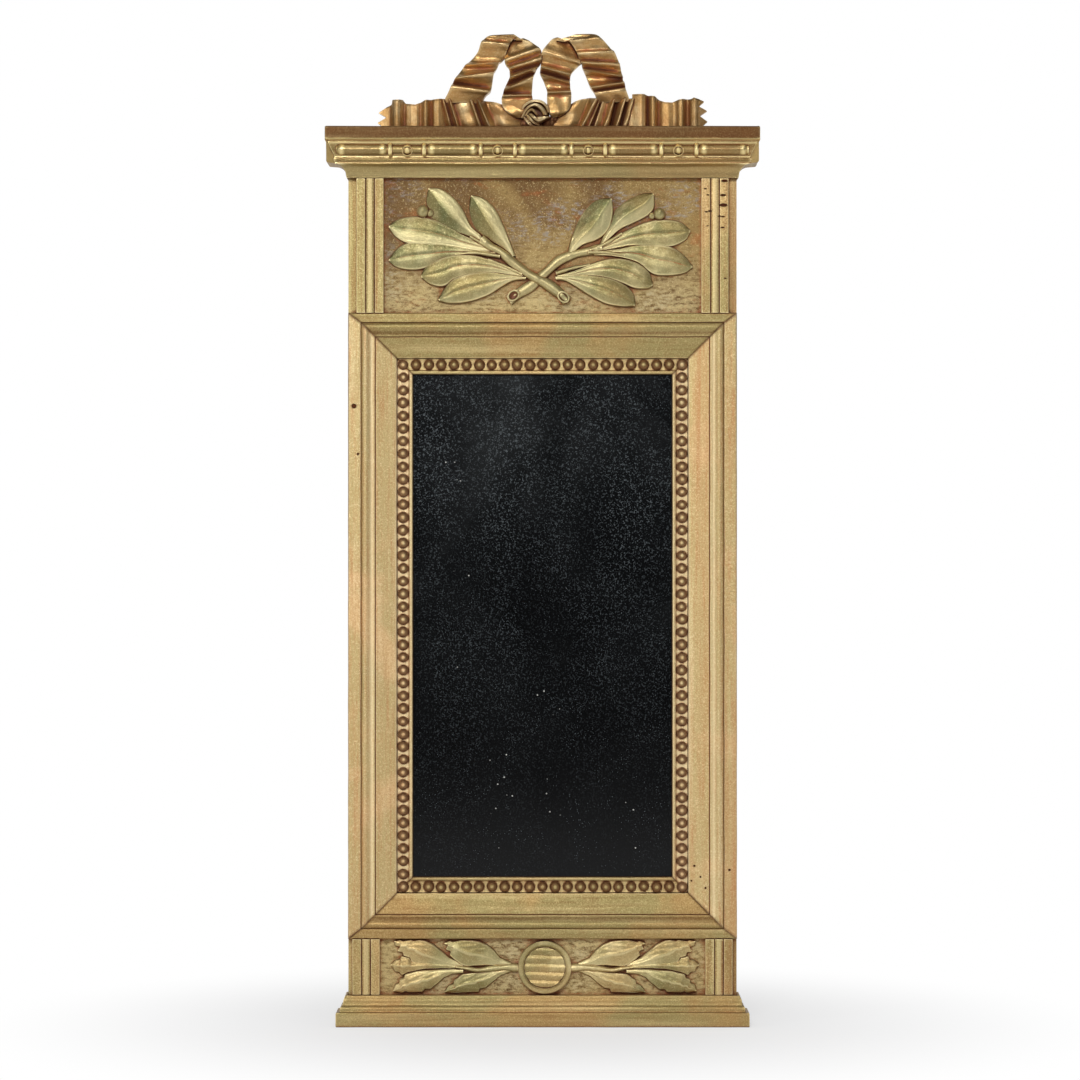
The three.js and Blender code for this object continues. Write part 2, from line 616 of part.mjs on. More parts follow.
// The bead and reel is a turned strip, halved along its length: barrels with rounded ends, a reel
// at each end of a barrel, and a pearl in the middle of each short neck.
function beadAndReel() {
  const shoulder = 0.82 * BARREL_RADIUS;
  const rounding = 3; // length of a barrel's rounded end
  const barrel = (x0, x1) => [[x0, NECK_RADIUS], [x0, shoulder], [x0 + rounding, BARREL_RADIUS],
    [x1 - rounding, BARREL_RADIUS], [x1, shoulder], [x1, NECK_RADIUS]];
  const reel = (x) => {
    const half = REEL_THICKNESS / 2;
    return [[x - half, NECK_RADIUS], [x - half, REEL_RADIUS], [x + half, REEL_RADIUS],
      [x + half, NECK_RADIUS]];
  };
  const pearl = (x) => arc(x, 0, PEARL_RADIUS, 180, 0, 8).filter(([, r]) => r > NECK_RADIUS - 1)
    .map(([a, r]) => [a, Math.max(r, NECK_RADIUS)]);
  const reach = bodyHalf + CORNICE_PROJECTION - 2.5 - STRIP_SLOPE + GAP / 2;
  const places = Math.floor((2 * reach - BARREL_LENGTH) / REEL_PERIOD);
  const first = (-places * REEL_PERIOD) / 2;
  const line = [];
  for (let i = 0; i <= places; i++) {
    const middle = first + i * REEL_PERIOD;
    const [x0, x1] = [middle - BARREL_LENGTH / 2, middle + BARREL_LENGTH / 2];
    if (i > 0) line.push(...reel(x0 - REEL_SPACING));
    line.push(...barrel(x0, x1));
    if (i < places) line.push(...reel(x1 + REEL_SPACING), ...pearl(middle + REEL_PERIOD / 2));
  }
  const profile = [[line[0][0], 0], ...line, [line.at(-1)[0], 0]];
  const facets = 8;
  const round = new THREE.LatheGeometry(profile.map(([x, r]) => new THREE.Vector2(r, x)), facets)
    .rotateY(Math.PI / facets).rotateZ(-Math.PI / 2);
  const room = 2 * REEL_RADIUS;
  const half = cut(round, box(-2 * bodyHalf, 2 * bodyHalf, -room, 0, -room, room));
  const middle = pilasterFront + CORNICE_PROJECTION - 2.5 - STRIP_SLOPE / 2 + GAP;
  return half.rotateX(Math.atan2(STRIP_SLOPE, STRIP_HEIGHT))
    .translate(0, -middle, (stripTop + stripBottom) / 2);
}

function addCornice() {
  add("cornice_front", acrossFront(corniceFrontSection()), gilding);
  add("plinth_front", acrossFront(plinthSection(-PILASTER_THICKNESS)), gilding);
  for (const [name, side] of sides) {
    add(`cornice_return_${name}`, alongSide(corniceSideSection(), side), gilding);
    add(`plinth_return_${name}`, alongSide(plinthSection(GAP), side), gilding);
  }
  add("bead_and_reel", beadAndReel(), gilding);
  add("cornice_top_board", box(-bodyHalf, bodyHalf, 0, CARCASS_DEPTH,
    corniceTop - TOP_BOARD_THICKNESS, corniceTop), gilding);
}

// ---------------------------------------------------------------- leaves
// The carver's drawings are sheets with points as [right, down] in millimetres, and the middle of
// each sheet lies on the middle of its field.
const FRIEZE_SHEET = [542.5, 245.5];
const BASE_SHEET = [542.5, 967];
const onSheet = ([cx, cy], points) => points.map(([x, y]) => [x - cx, cy - y]);

const LEAF_ACROSS = [[-1, 0.6], [-0.5, 1], [0, 0.84], [0.5, 1], [1, 0.6]];
const LEAF_NECK = 0.8; // half the least width of a leaf
const LEAF_END = 0.985; // a leaf stops just short of the point where its edges meet
const STEM_ACROSS = [[-1, 0.35], [-0.6, 0.85], [0, 1], [0.6, 0.85], [1, 0.35]];

// Points at even distances along a line through the given ones, curved or straight.
function spaced(points, count, curved) {
  const corners = points.map(([x, z]) => new THREE.Vector2(x, z));
  const steps = Array.from({ length: count }, (_, i) => (LEAF_END * i) / (count - 1));
  if (curved) {
    const curve = new THREE.SplineCurve(corners);
    return steps.map((t) => curve.getPointAt(t));
  }
  const path = new THREE.CurvePath();
  corners.slice(1).forEach((corner, i) => path.add(new THREE.LineCurve(corners[i], corner)));
  return steps.map((t) => path.getPoint(t));
}

// A leaf lies between its two edges, which run from the stalk to the tip. Its halves swell on
// either side of the midrib, and it is thinner at its rim.
function leaf(sheet, { edges, height, rows = 7, curved = true }, grow = 0) {
  const [near, far] = edges.map((edge) => spaced(onSheet(sheet, edge), rows, curved));
  const middles = near.map((point, i) => point.clone().add(far[i]).divideScalar(2));
  const halves = near.map((point, i) => far[i].clone().sub(point).divideScalar(2));
  const widest = Math.max(...halves.map((half) => half.length()));
  const last = rows - 1;
  const outward = (end, next) => middles[end].clone().sub(middles[next]).setLength(grow);
  const [before, beyond] = [outward(0, 1), outward(last, last - 1)];
  middles[0].add(before);
  middles[last].add(beyond);
  const grid = middles.map((middle, i) => {
    const belly = halves[i].length() / widest;
    const half = halves[i].clone().setLength(Math.max(halves[i].length(), LEAF_NECK) + grow);
    const rise = height * (0.7 + 0.3 * belly);
    return LEAF_ACROSS.map(([v, share]) =>
      at(middle.x + half.x * v, frontPlane + rise * share + grow, middle.y + half.y * v));
  });
  return relief(grid, frontPlane - grow);
}

// A stem is a half-round strip through its points, which get thicker towards the cut end.
function stem(sheet, { points, width, height, steps = 7 }, grow = 0) {
  const line = onSheet(sheet, points).map(([x, z]) => new THREE.Vector3(x, 0, z));
  const curve = new THREE.CatmullRomCurve3(line);
  const rows = Array.from({ length: steps + 1 }, (_, i) => {
    const t = i / steps;
    const middle = curve.getPoint(t);
    const along = curve.getTangent(t);
    const half = (width / 2) * (0.7 + 0.3 * t) + grow;
    return STEM_ACROSS.map(([v, share]) => at(middle.x - along.z * v * half,
      frontPlane + height * share + grow, middle.z + along.x * v * half));
  });
  return relief(rows, frontPlane - grow);
}

// The slanted cut at the end of a stem: an oval with a raised ring round the pith.
function cutEnd(sheet, { place, slope, height }, grow = 0) {
  const [[x, z]] = onSheet(sheet, [place]);
  const base = frontPlane - grow;
  const top = frontPlane + height + grow;
  const oval = turned([[0, base], [6.4 + grow, base], [6.4 + grow, top - 1], [5.4, top], [4.2, top],
    [3, top - 1.8], [0, top - 2]], 10);
  return oval.scale(1, 1, 0.76).rotateY(THREE.MathUtils.degToRad(-slope)).translate(x, 0, z);
}

// A berry with a smaller one beside it, on a twig.
function berries(sheet, places, grow = 0) {
  return places.map(([x, y, radius]) => {
    const [[right, up]] = onSheet(sheet, [[x, y]]);
    const r = radius + grow;
    const base = frontPlane - grow;
    return turned([[0, base], [r, base], [0.95 * r, frontPlane + 0.5 * r], [0.6 * r, frontPlane + 0.9 * r],
      [0, frontPlane + r]], 8).translate(right, 0, up);
  });
}

const laurelLeft = {
  leaves: [
    { height: 6, edges: [
      [[486, 243], [480, 235], [470.3, 225.6], [462.5, 210], [453, 197.5], [440.6, 188.8], [428.1, 187.5]],
      [[484.4, 245], [469, 235.6], [453, 231], [440.6, 226.5], [430, 214], [426.6, 200.6], [428.1, 188.5]],
    ] },
    { height: 6, edges: [
      [[515, 256], [508, 238], [503, 225.6], [495.3, 210], [484.4, 199], [470.9, 194.5]],
      [[510, 256], [500, 246], [484.4, 237], [475, 226], [469.8, 210], [470.5, 195.5]],
    ] },
    { height: 4.6, edges: [
      [[500, 250], [487.5, 244], [466, 236], [453, 228.8], [437.5, 220.9], [418.8, 216.5], [400, 218.5],
        [388, 225.6]],
      [[496, 253], [469, 249], [450, 246], [431, 244.6], [409.4, 243], [396.5, 236.6], [388, 226.6]],
    ] },
    { height: 5.9, edges: [
      [[498, 251], [479, 250], [462.5, 247.5], [447, 244.5], [428, 241.6], [412.5, 241.6], [399, 247],
        [388, 259.4]],
      [[494, 254], [478, 253.5], [459.4, 255.6], [440.6, 260.3], [428, 266.4], [412.5, 269],
        [396.9, 266.5], [388, 260]],
    ] },
    { height: 7.2, edges: [
      [[524, 274], [506.3, 265.8], [490.6, 259.6], [472, 255], [453, 255], [437.5, 259.8], [426, 266.3],
        [420.3, 276.3]],
      [[521, 277], [493.8, 272.5], [468.8, 274.4], [453, 279.2], [443.8, 285.3], [431.3, 283.8],
        [420.6, 277]],
    ] },
    { height: 8.4, edges: [
      [[527, 276.5], [509.4, 274.8], [487.5, 272], [468.8, 273.8], [453, 279.2], [445, 288],
        [437.7, 299.7]],
      [[525, 279], [512.5, 280.4], [500, 287.4], [487.5, 294.8], [468.8, 301], [450, 302.8],
        [438.3, 300.3]],
    ] },
  ],
  stem: [[481, 238], [490, 246], [500, 251.3], [515.6, 264.7], [531.3, 275.6], [547, 283.8],
    [559.4, 293], [567, 300.5]],
  stalks: [[[519, 275.5], [532, 279]], [[521, 278.5], [534, 281]], [[511, 252], [515, 263]],
    [[422.6, 214], [426, 221], [436, 228]]],
  berries: [[422.6, 210.8, 6.2], [430, 212.4, 3.8]],
  end: { place: [563.4, 297], slope: -42, height: UPPER_STEM + 0.9 },
  thickness: UPPER_STEM,
};
const laurelRight = {
  leaves: [
    { height: 6, edges: [
      [[600, 244], [607.8, 225.6], [615.6, 210], [628, 200], [642, 193.8], [653.8, 192.8]],
      [[603.5, 244], [618.8, 229.5], [631.3, 223], [647, 215], [653.6, 206.9], [654.2, 193.8]],
    ] },
    { height: 6, edges: [
      [[568, 253], [571.9, 238], [578, 222.5], [586, 209.6], [597, 200], [611.6, 197.6]],
      [[572, 254], [581.3, 245], [597, 238.7], [608, 229], [612.4, 213], [612, 198.5]],
    ] },
    { height: 4.6, edges: [
      [[596, 249], [618.8, 234.6], [634.4, 226.8], [647, 222], [662.5, 219.6], [680, 222], [691, 230.3]],
      [[594, 252], [612.5, 248], [631.3, 245], [650, 245.4], [668.8, 246.2], [684.6, 240], [691, 231.2]],
    ] },
    { height: 5.9, edges: [
      [[596, 251], [618.8, 248.7], [634.4, 245.4], [653, 244.5], [669, 246.4], [681.5, 253.4],
        [693.4, 266.3]],
      [[594, 254.5], [615.6, 255.8], [637.5, 262], [653, 273], [668.8, 274.6], [684.4, 272.4],
        [693.2, 267]],
    ] },
    { height: 7.2, edges: [
      [[557, 275], [575, 270.4], [590.6, 264.2], [606.3, 259.4], [622, 258.8], [637.7, 263.3],
        [648.8, 272.3], [653.3, 285]],
      [[558, 278], [581.3, 275.6], [600, 276.2], [618.8, 281], [634.4, 287.2], [647, 288], [653, 285.8]],
    ] },
    { height: 8.4, edges: [
      [[555, 276], [575, 275], [593.8, 275.6], [612.5, 279], [625.3, 285.4], [633.2, 294.4],
        [635.6, 305.3]],
      [[556, 279.5], [565.6, 280.4], [578, 287.4], [590.6, 295.2], [606.3, 303], [622, 306], [635, 306]],
    ] },
  ],
  stem: [[602, 247], [590, 250.5], [575, 253.8], [559.4, 260], [547, 270.9], [531.3, 285],
    [519, 292.8], [508.5, 300]],
  stalks: [[[562, 276], [550, 269]], [[600, 253.5], [585, 252.5]],
    [[659.6, 216], [656, 224], [646, 231]]],
  berries: [[659.6, 213.4, 6.2], [667, 215, 3.8]],
  end: { place: [513.4, 295.4], slope: 38, height: LOWER_STEM + 1.6 },
  thickness: LOWER_STEM,
};

function branch({ leaves, stem: points, stalks, berries: fruit, end, thickness }, grow = 0) {
  const sheet = FRIEZE_SHEET;
  const carved = leaves.map((shape) => leaf(sheet, shape, grow));
  const stalk = stem(sheet, { points, width: 10, height: thickness }, grow);
  const twigs = stalks.map((line) => stem(sheet, { points: line, width: 4, height: 3.6, steps: 2 }, grow));
  return join(...carved, stalk, ...twigs, ...berries(sheet, fruit, grow), cutEnd(sheet, end, grow));
}

// The left stem crosses in front of the right one, and is hollowed behind to sit over it.
function addLaurel() {
  const middle = (frameTop + corniceBottom) / 2;
  const upper = cut(branch(laurelLeft), branch(laurelRight, GAP));
  add("laurel_branch_left", upper, gilding).position.z = middle;
  add("laurel_branch_right", branch(laurelRight), gilding).position.z = middle;
}

// The left spray of the base panel; the right one is its mirror image about the medallion.
const toothed = { rows: 10, curved: false };
const spray = {
  leaves: [
    { ...toothed, height: 5.6, edges: [
      [[511, 963.5], [500, 958.8], [494, 951.4], [486.6, 945.4], [478.6, 942], [470.5, 940.6],
        [461.2, 940.4], [452, 942.3], [443.7, 943.4]],
      [[512, 967.5], [485.3, 965.6], [474.5, 966], [466.5, 966.9], [461.2, 965.1], [454.5, 960.1],
        [449.8, 955.4], [450.6, 952], [445.6, 949.6], [447.6, 946.7], [443.9, 944]],
    ] },
    { ...toothed, height: 5, edges: [
      [[512, 968.5], [490, 972], [478.6, 972.8], [462.5, 974.9], [457.4, 979], [454, 981],
        [453.4, 984.6], [449, 986.4], [443.7, 992.9]],
      [[511, 972], [500, 976], [492, 982.9], [485.3, 988.3], [479.6, 989.4], [478.6, 992.6],
        [465, 993.3], [453, 993.6], [443.9, 993.3]],
    ] },
    { ...toothed, height: 5.4, edges: [
      [[463, 965], [457, 961.8], [449, 958.6], [441, 952], [433, 945.4], [425, 941.2], [419.6, 940.2],
        [411, 941], [402, 941.6], [394, 941.4]],
      [[463, 968], [440, 967], [417, 966], [411, 962.4], [409.6, 958.4], [403.6, 956.4],
        [402.6, 952.8], [397.4, 952], [399.4, 947.6], [395, 945.6], [394, 942]],
    ] },
    { ...toothed, height: 6.1, edges: [
      [[463, 966], [440, 964], [425, 962.6], [411, 961], [409, 958.5], [401, 957], [400, 960],
        [395.5, 961], [390, 965]],
      [[463, 969], [440, 968.6], [425, 969.2], [408, 972.6], [401.6, 975.5], [399, 972.6],
        [394.2, 971.5], [393, 968.6], [390, 965.8]],
    ] },
    { ...toothed, height: 6.6, edges: [
      [[463, 969.5], [443, 970], [417, 971.8], [405, 974.9], [403.6, 978.4], [399.4, 980],
        [399, 983.6], [395, 985.6], [392.4, 991.4]],
      [[463, 973.5], [451.8, 974.2], [443.7, 977.6], [438.4, 983], [430.4, 989.4], [424.6, 989.6],
        [422.3, 992.4], [409, 993], [402, 993.4], [392.8, 992]],
    ] },
  ],
  stem: [[420, 966.4], [440, 967.6], [462, 968.6], [478, 970.4], [492, 969], [505, 968], [524, 968.2]],
};
const MEDALLION_CENTRE = [2.3, -0.8];
const RIB_PITCH = 8.6;
const RIB_SINK = 3.4; // from the rim's face down to the middle of the ribs
const RIB_FLATTENING = 0.6;

function medallion() {
  const face = frontPlane + MEDALLION_THICKNESS;
  const inner = MEDALLION_RADIUS - MEDALLION_RIM;
  const body = turned([[0, frontPlane], [MEDALLION_RADIUS, frontPlane], [MEDALLION_RADIUS, face - 2],
    [MEDALLION_RADIUS - 1.5, face], [inner + 1, face - 0.4], [inner, face - 3], [0, face - 3]],
  MEDALLION_SIDES);
  const ribs = [-2, -1, 0, 1, 2].map((i) => {
    const middle = i * RIB_PITCH;
    const section = arc(0, 0, RIB_PITCH / 2 - 0.5, 0, 180, 4)
      .map(([z, rise]) => [middle + z, face - RIB_SINK + rise * RIB_FLATTENING]);
    const reach = Math.sqrt((inner - 0.6) ** 2 - (Math.abs(middle) + 2) ** 2);
    return bar(section, () => -reach, () => reach, (z, depth, s) => at(s, depth, z));
  });
  return join(body, ...ribs);
}

function addBaseOrnament() {
  const middle = (PLINTH_HEIGHT + frameBottom) / 2;
  const [mx, mz] = MEDALLION_CENTRE;
  add("medallion", medallion(), gilding).position.set(mx, 0, middle + mz);
  const clear = turned([[0, 0], [MEDALLION_RADIUS + GAP, 0], [MEDALLION_RADIUS + GAP, 60],
    [0, 60]], MEDALLION_SIDES).translate(mx, 0, mz);
  const room = BASE_HEIGHT / 2 - GAP;
  const field = box(-baseHalf + GAP, baseHalf - GAP, 0, 60, -room, room);
  const fold = BASE_SHEET[0] + mx; // the line that the mirror image is taken about
  for (const [name, side] of sides) {
    const facing = (points) => points.map(([x, y]) => [side < 0 ? x : 2 * fold - x, y]);
    const carved = spray.leaves.map((shape) =>
      leaf(BASE_SHEET, { ...shape, edges: shape.edges.map(facing) }));
    const stalk = stem(BASE_SHEET, { points: facing(spray.stem), width: 8, height: 6.8 });
    add(`leaf_spray_${name}`, common(cut(join(...carved, stalk), clear), field), gilding)
      .position.z = middle;
  }
}

// ---------------------------------------------------------------- ribbon crest
// Drawn from the middle of the cornice top. A fold is a line from one edge of the ribbon to the
// other with the height of the carving along it: [x, z, x, z, height]; the ribbon is lofted
// through its folds, with one step between each two.
function ribbon(folds, backDepth = CREST_BACK) {
  const spline = (pick) => new THREE.CatmullRomCurve3(folds.map(pick));
  const near = spline(([x, z, , , height]) => new THREE.Vector3(x, height, z));
  const far = spline(([, , x, z, height]) => new THREE.Vector3(x, height, z));
  const steps = 2 * (folds.length - 1);
  const rows = Array.from({ length: steps + 1 }, (_, i) => {
    const [a, b] = [near.getPoint(i / steps), far.getPoint(i / steps)];
    return [0, 0.3, 0.7, 1].map((t) => {
      const crown = t === 0 || t === 1 ? -1.5 : 0;
      return at(a.x + (b.x - a.x) * t, backDepth + a.y + crown, a.z + (b.z - a.z) * t);
    });
  });
  return relief(rows, backDepth);
}

const loopLeftOuter = [
  [-98, 28.5, -59, 27.5, 15], [-94, 38, -53.5, 36.5, 17], [-90.5, 44, -51.5, 43.5, 10],
  [-88, 49, -49.5, 54.5, 17], [-82, 56.5, -46.5, 60, 11], [-74.5, 63, -42.5, 65.5, 16],
  [-68.5, 72, -37.5, 73, 12], [-63.5, 81, -34.5, 80, 16], [-59, 88.5, -31.5, 84, 13],
  [-53.5, 93, -26.5, 89.5, 12], [-34, 94.7, -20, 92, 10],
];
const loopLeftInner = [
  [-31, 13, -14, 16, 8], [-40, 28, -11, 31, 11], [-39.5, 38.5, -7, 46, 13],
  [-36.5, 45, -4, 55, 9], [-33, 51, -1, 62, 13], [-33, 57, -0.5, 69, 8],
  [-37, 63, -0.5, 76.5, 12], [-41, 71, -5, 81, 7], [-40, 80, -13, 88, 6],
];
const loopRightOuter = [
  [54.5, 27.5, 87, 30, 15], [51.5, 35, 84.5, 40.5, 17], [48.5, 41.5, 82.5, 46, 10],
  [45.5, 50, 80.2, 51.5, 16], [42.5, 56, 78.5, 58, 11], [40.5, 63, 77.5, 64, 16],
  [38, 70, 73.5, 71, 12], [34.5, 76, 70.5, 77, 16], [28.5, 85, 62.5, 85.5, 13],
  [23.5, 89, 53.5, 92.5, 12], [15, 93.2, 30, 95, 10],
];
const loopRightInner = [
  [10.5, 16, 25.5, 19, 8], [4, 29, 29, 30, 11], [2.5, 36, 29, 36.4, 13],
  [1.5, 42, 28, 42, 9], [-2, 52.5, 27.5, 45, 13], [-2.5, 58, 27.5, 51, 9],
  [-2.5, 63, 28.5, 55, 13], [-2, 70, 36, 62, 8], [3, 80, 40, 69, 9], [8.5, 88, 36, 79, 7],
];
const innerTailLeft = [
  [-97, 0, -101.5, 29.5, 10], [-92, 0, -98.5, 29.5, 13.5], [-88, 0, -95.5, 29.5, 9],
  [-84, 0, -93, 29.5, 13.5], [-73, 0, -82, 29, 8], [-61.5, 0, -71.5, 29, 13],
  [-57, 0, -68, 29, 10], [-52, 0, -64, 29, 13.5], [-44.5, 0, -56, 28, 8], [-32, 0, -40, 26, 13],
  [-18, 0, -27, 16, 11],
];
const innerTailRight = [
  [-10, 0, -10, 12, 10], [10, 0, 16, 16, 10], [23.5, 0, 29.5, 29, 12], [34.5, 0, 47.5, 31, 8],
  [38.5, 0, 53.5, 30, 13.5], [51.5, 0, 59, 30, 12], [56.5, 0, 65.5, 30, 9], [61.5, 0, 71.5, 30, 13.5],
  [67, 0, 75, 30, 8], [73.5, 0, 83, 31, 13], [78, 0, 85.5, 31, 8], [82, 0, 89, 31, 12],
  [86, 0, 92, 29, 9],
];

// The two ends of the ribbon: upright folds as [x, height], trimmed to a notched outline.
const tailLeft = {
  folds: [[-168, 8], [-153, 8], [-151, 9], [-149, 15], [-145, 17], [-141, 15], [-139, 8],
    [-136.5, 12], [-129, 13], [-123, 12], [-121.5, 9], [-117, 16], [-113.5, 13], [-112, 8],
    [-109.5, 13], [-103.5, 13], [-96, 11]],
  outline: [[-157.5, 0], [-165.5, 6], [-156.5, 11.5], [-164.5, 16], [-151.5, 24], [-151, 28.6],
    [-139.5, 28.6], [-137, 24.6], [-127.5, 24], [-117, 28.6], [-102.6, 30], [-101.4, 20],
    [-98.8, 0]],
};
const tailRight = {
  folds: [[85, 11], [93, 12], [99, 14], [104, 13], [105.3, 8], [107, 14], [110.5, 16], [114, 13],
    [116, 8], [118.5, 12], [125.5, 12.5], [133, 12], [135.5, 15], [138.5, 16.5], [142, 14],
    [145, 8], [149, 13], [153.5, 14], [157.5, 10], [167, 8]],
  outline: [[86.8, 0], [90.5, 14], [93, 29], [92, 34], [101.5, 34.4], [106.5, 32.7], [118, 28],
    [122.5, 26.4], [130, 26], [142.5, 29.5], [148.5, 29.5], [153, 31.2], [162.3, 27],
    [156.5, 22.3], [165.2, 17.7], [157.5, 12.6], [165.5, 7], [157.5, 0]],
};

function tail({ folds, outline }) {
  const section = [...folds, [folds.at(-1)[0], 0], [folds[0][0], 0]];
  const sheet = bar(section, () => 0, () => 40, (x, height, s) => at(x, CREST_BACK + height, s));
  return common(sheet, plate(outline, CREST_BACK, CREST_BACK + 30));
}

// The knot is the ribbon wound in on itself: a low dome whose ridge runs in a spiral.
const KNOT = { centre: [-5, 14], radius: 15.5, wide: 1.12, low: 0.94, turns: 2.4, height: 20,
  ridge: 2.6, rim: 9, spokes: 20, rings: 7 };

function knot() {
  const { spokes, rings, radius, centre: [cx, cz] } = KNOT;
  const points = [at(cx, CREST_BACK + KNOT.height - 1, cz)];
  for (let r = 1; r <= rings; r++) {
    for (let k = 0; k < spokes; k++) {
      const share = r / rings;
      const angle = (2 * Math.PI * k) / spokes;
      const wave = Math.cos(2 * Math.PI * (share * KNOT.turns - k / spokes));
      const dome = KNOT.height * (1 - 0.35 * share * share);
      const x = cx + KNOT.wide * radius * share * Math.cos(angle);
      const z = Math.max(0.4, cz + KNOT.low * radius * share * Math.sin(angle));
      points.push(at(x, CREST_BACK + dome + KNOT.ridge * wave * (1 - 0.4 * share), z));
    }
  }
  const index = (r, k) => 1 + (r - 1) * spokes + (k % spokes);
  const faces = [];
  for (let k = 0; k < spokes; k++) {
    faces.push([0, index(1, k), index(1, k + 1)]);
    for (let r = 1; r < rings; r++) {
      faces.push([index(r, k), index(r + 1, k), index(r + 1, k + 1)],
        [index(r, k), index(r + 1, k + 1), index(r, k + 1)]);
    }
  }
  const rim = points.length;
  for (let k = 0; k < spokes; k++) {
    const { x, z } = points[index(rings, k)];
    points.push(at(x, CREST_BACK + KNOT.rim, z));
    const next = rim + ((k + 1) % spokes);
    faces.push([index(rings, k), rim + k, next], [index(rings, k), next, index(rings, k + 1)]);
    if (k > 0 && k + 1 < spokes) faces.push([rim, rim + k + 1, rim + k]);
  }
  return closedMesh(points, faces);
}

function addCrest() {
  const crest = new THREE.Group();
  crest.position.z = corniceTop + GAP;
  mirror.add(crest);
  const strips = [loopLeftOuter, loopLeftInner, loopRightOuter, loopRightInner, innerTailLeft,
    innerTailRight].map((folds) => ribbon(folds));
  const wound = knot();
  const middle = new THREE.Vector3(KNOT.centre[0], 0, KNOT.centre[1]);
  const seat = wound.clone().translate(-middle.x, 0, -middle.z).scale(1.03, 1, 1.03)
    .translate(middle.x, GAP, middle.z);
  const recess = join(seat, seat.clone().translate(0, -20, 0));
  add("ribbon_bow", cut(join(...strips), recess), gilding, crest);
  add("bow_knot", wound, gilding, crest);
  add("ribbon_tail_left", tail(tailLeft), gilding, crest);
  add("ribbon_tail_right", tail(tailRight), gilding, crest);
  for (const [name, x] of [["left", -120], ["middle", 30], ["right", 125]]) {
    const section = [[CREST_BACK - GAP, 0], [CREST_BACK - GAP, BLOCK_SIZE],
      [CREST_BACK - GAP - BLOCK_SIZE, 0]];
    const block = bar(section, () => x - BLOCK_LENGTH / 2, () => x + BLOCK_LENGTH / 2,
      (depth, z, s) => at(s, depth, z));
    add(`crest_glue_block_${name}`, block, barePine, crest);
  }
}

addCarcass();
addHangers();
addGlass();
addMirrorFrame();
addPilasters();
addCornice();
addLaurel();
addBaseOrnament();
addCrest();

export default mirror;
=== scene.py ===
"""The finish and the fine carving of a gilded wooden pier mirror.

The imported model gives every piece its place. Each class below is one sub-assembly: it holds the
sizes that its carving needs, builds finer meshes that stand for the plain ones, and dresses them.
Lengths are metres, unless a comment or docstring says millimetres. X runs to the right, Y into
the wall and Z up, and "depth" is the distance in front of the carcass back, so that Y = -depth.
"""

import logging
import math
from collections.abc import Callable, Sequence
from dataclasses import dataclass, field, replace
from enum import Enum
from functools import cache
from typing import ClassVar

import bmesh
import bpy
import numpy as np
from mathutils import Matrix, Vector


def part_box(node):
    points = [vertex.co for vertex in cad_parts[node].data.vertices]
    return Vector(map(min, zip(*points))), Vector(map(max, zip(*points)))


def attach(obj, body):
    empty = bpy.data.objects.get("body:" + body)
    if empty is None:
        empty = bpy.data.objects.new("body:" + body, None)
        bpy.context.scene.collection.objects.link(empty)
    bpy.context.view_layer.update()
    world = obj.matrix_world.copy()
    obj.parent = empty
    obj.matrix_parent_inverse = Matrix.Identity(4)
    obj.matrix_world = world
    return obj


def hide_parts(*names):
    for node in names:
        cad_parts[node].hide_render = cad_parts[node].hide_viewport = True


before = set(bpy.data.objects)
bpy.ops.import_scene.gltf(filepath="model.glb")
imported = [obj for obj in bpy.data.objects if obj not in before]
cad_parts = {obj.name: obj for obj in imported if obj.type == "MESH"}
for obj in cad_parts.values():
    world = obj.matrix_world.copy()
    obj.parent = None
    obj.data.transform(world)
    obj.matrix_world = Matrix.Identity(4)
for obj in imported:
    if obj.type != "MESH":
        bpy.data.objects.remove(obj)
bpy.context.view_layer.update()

log = logging.getLogger("pier_mirror")

MM = 0.001
GAP = 0.3 * MM
Colour = tuple[float, float, float, float]
Pair = tuple[float, float]
Point = tuple[float, float, float]
Outline = Sequence[Pair]
Marks = float | Sequence[float] | np.ndarray
Values = dict[str | int, object]


def rgb(red: int, green: int, blue: int) -> Colour:
    """Turns a colour as a screen shows it, 0 to 255, into the linear values of a shader.

    Args:
        red: Red.
        green: Green.
        blue: Blue.

    Returns:
        The linear colour, opaque.
    """
    shares = (red / 255, green / 255, blue / 255)
    linear = [((c + 0.055) / 1.055) ** 2.4 if c > 0.04 else c / 12.92 for c in shares]
    return (linear[0], linear[1], linear[2], 1.0)


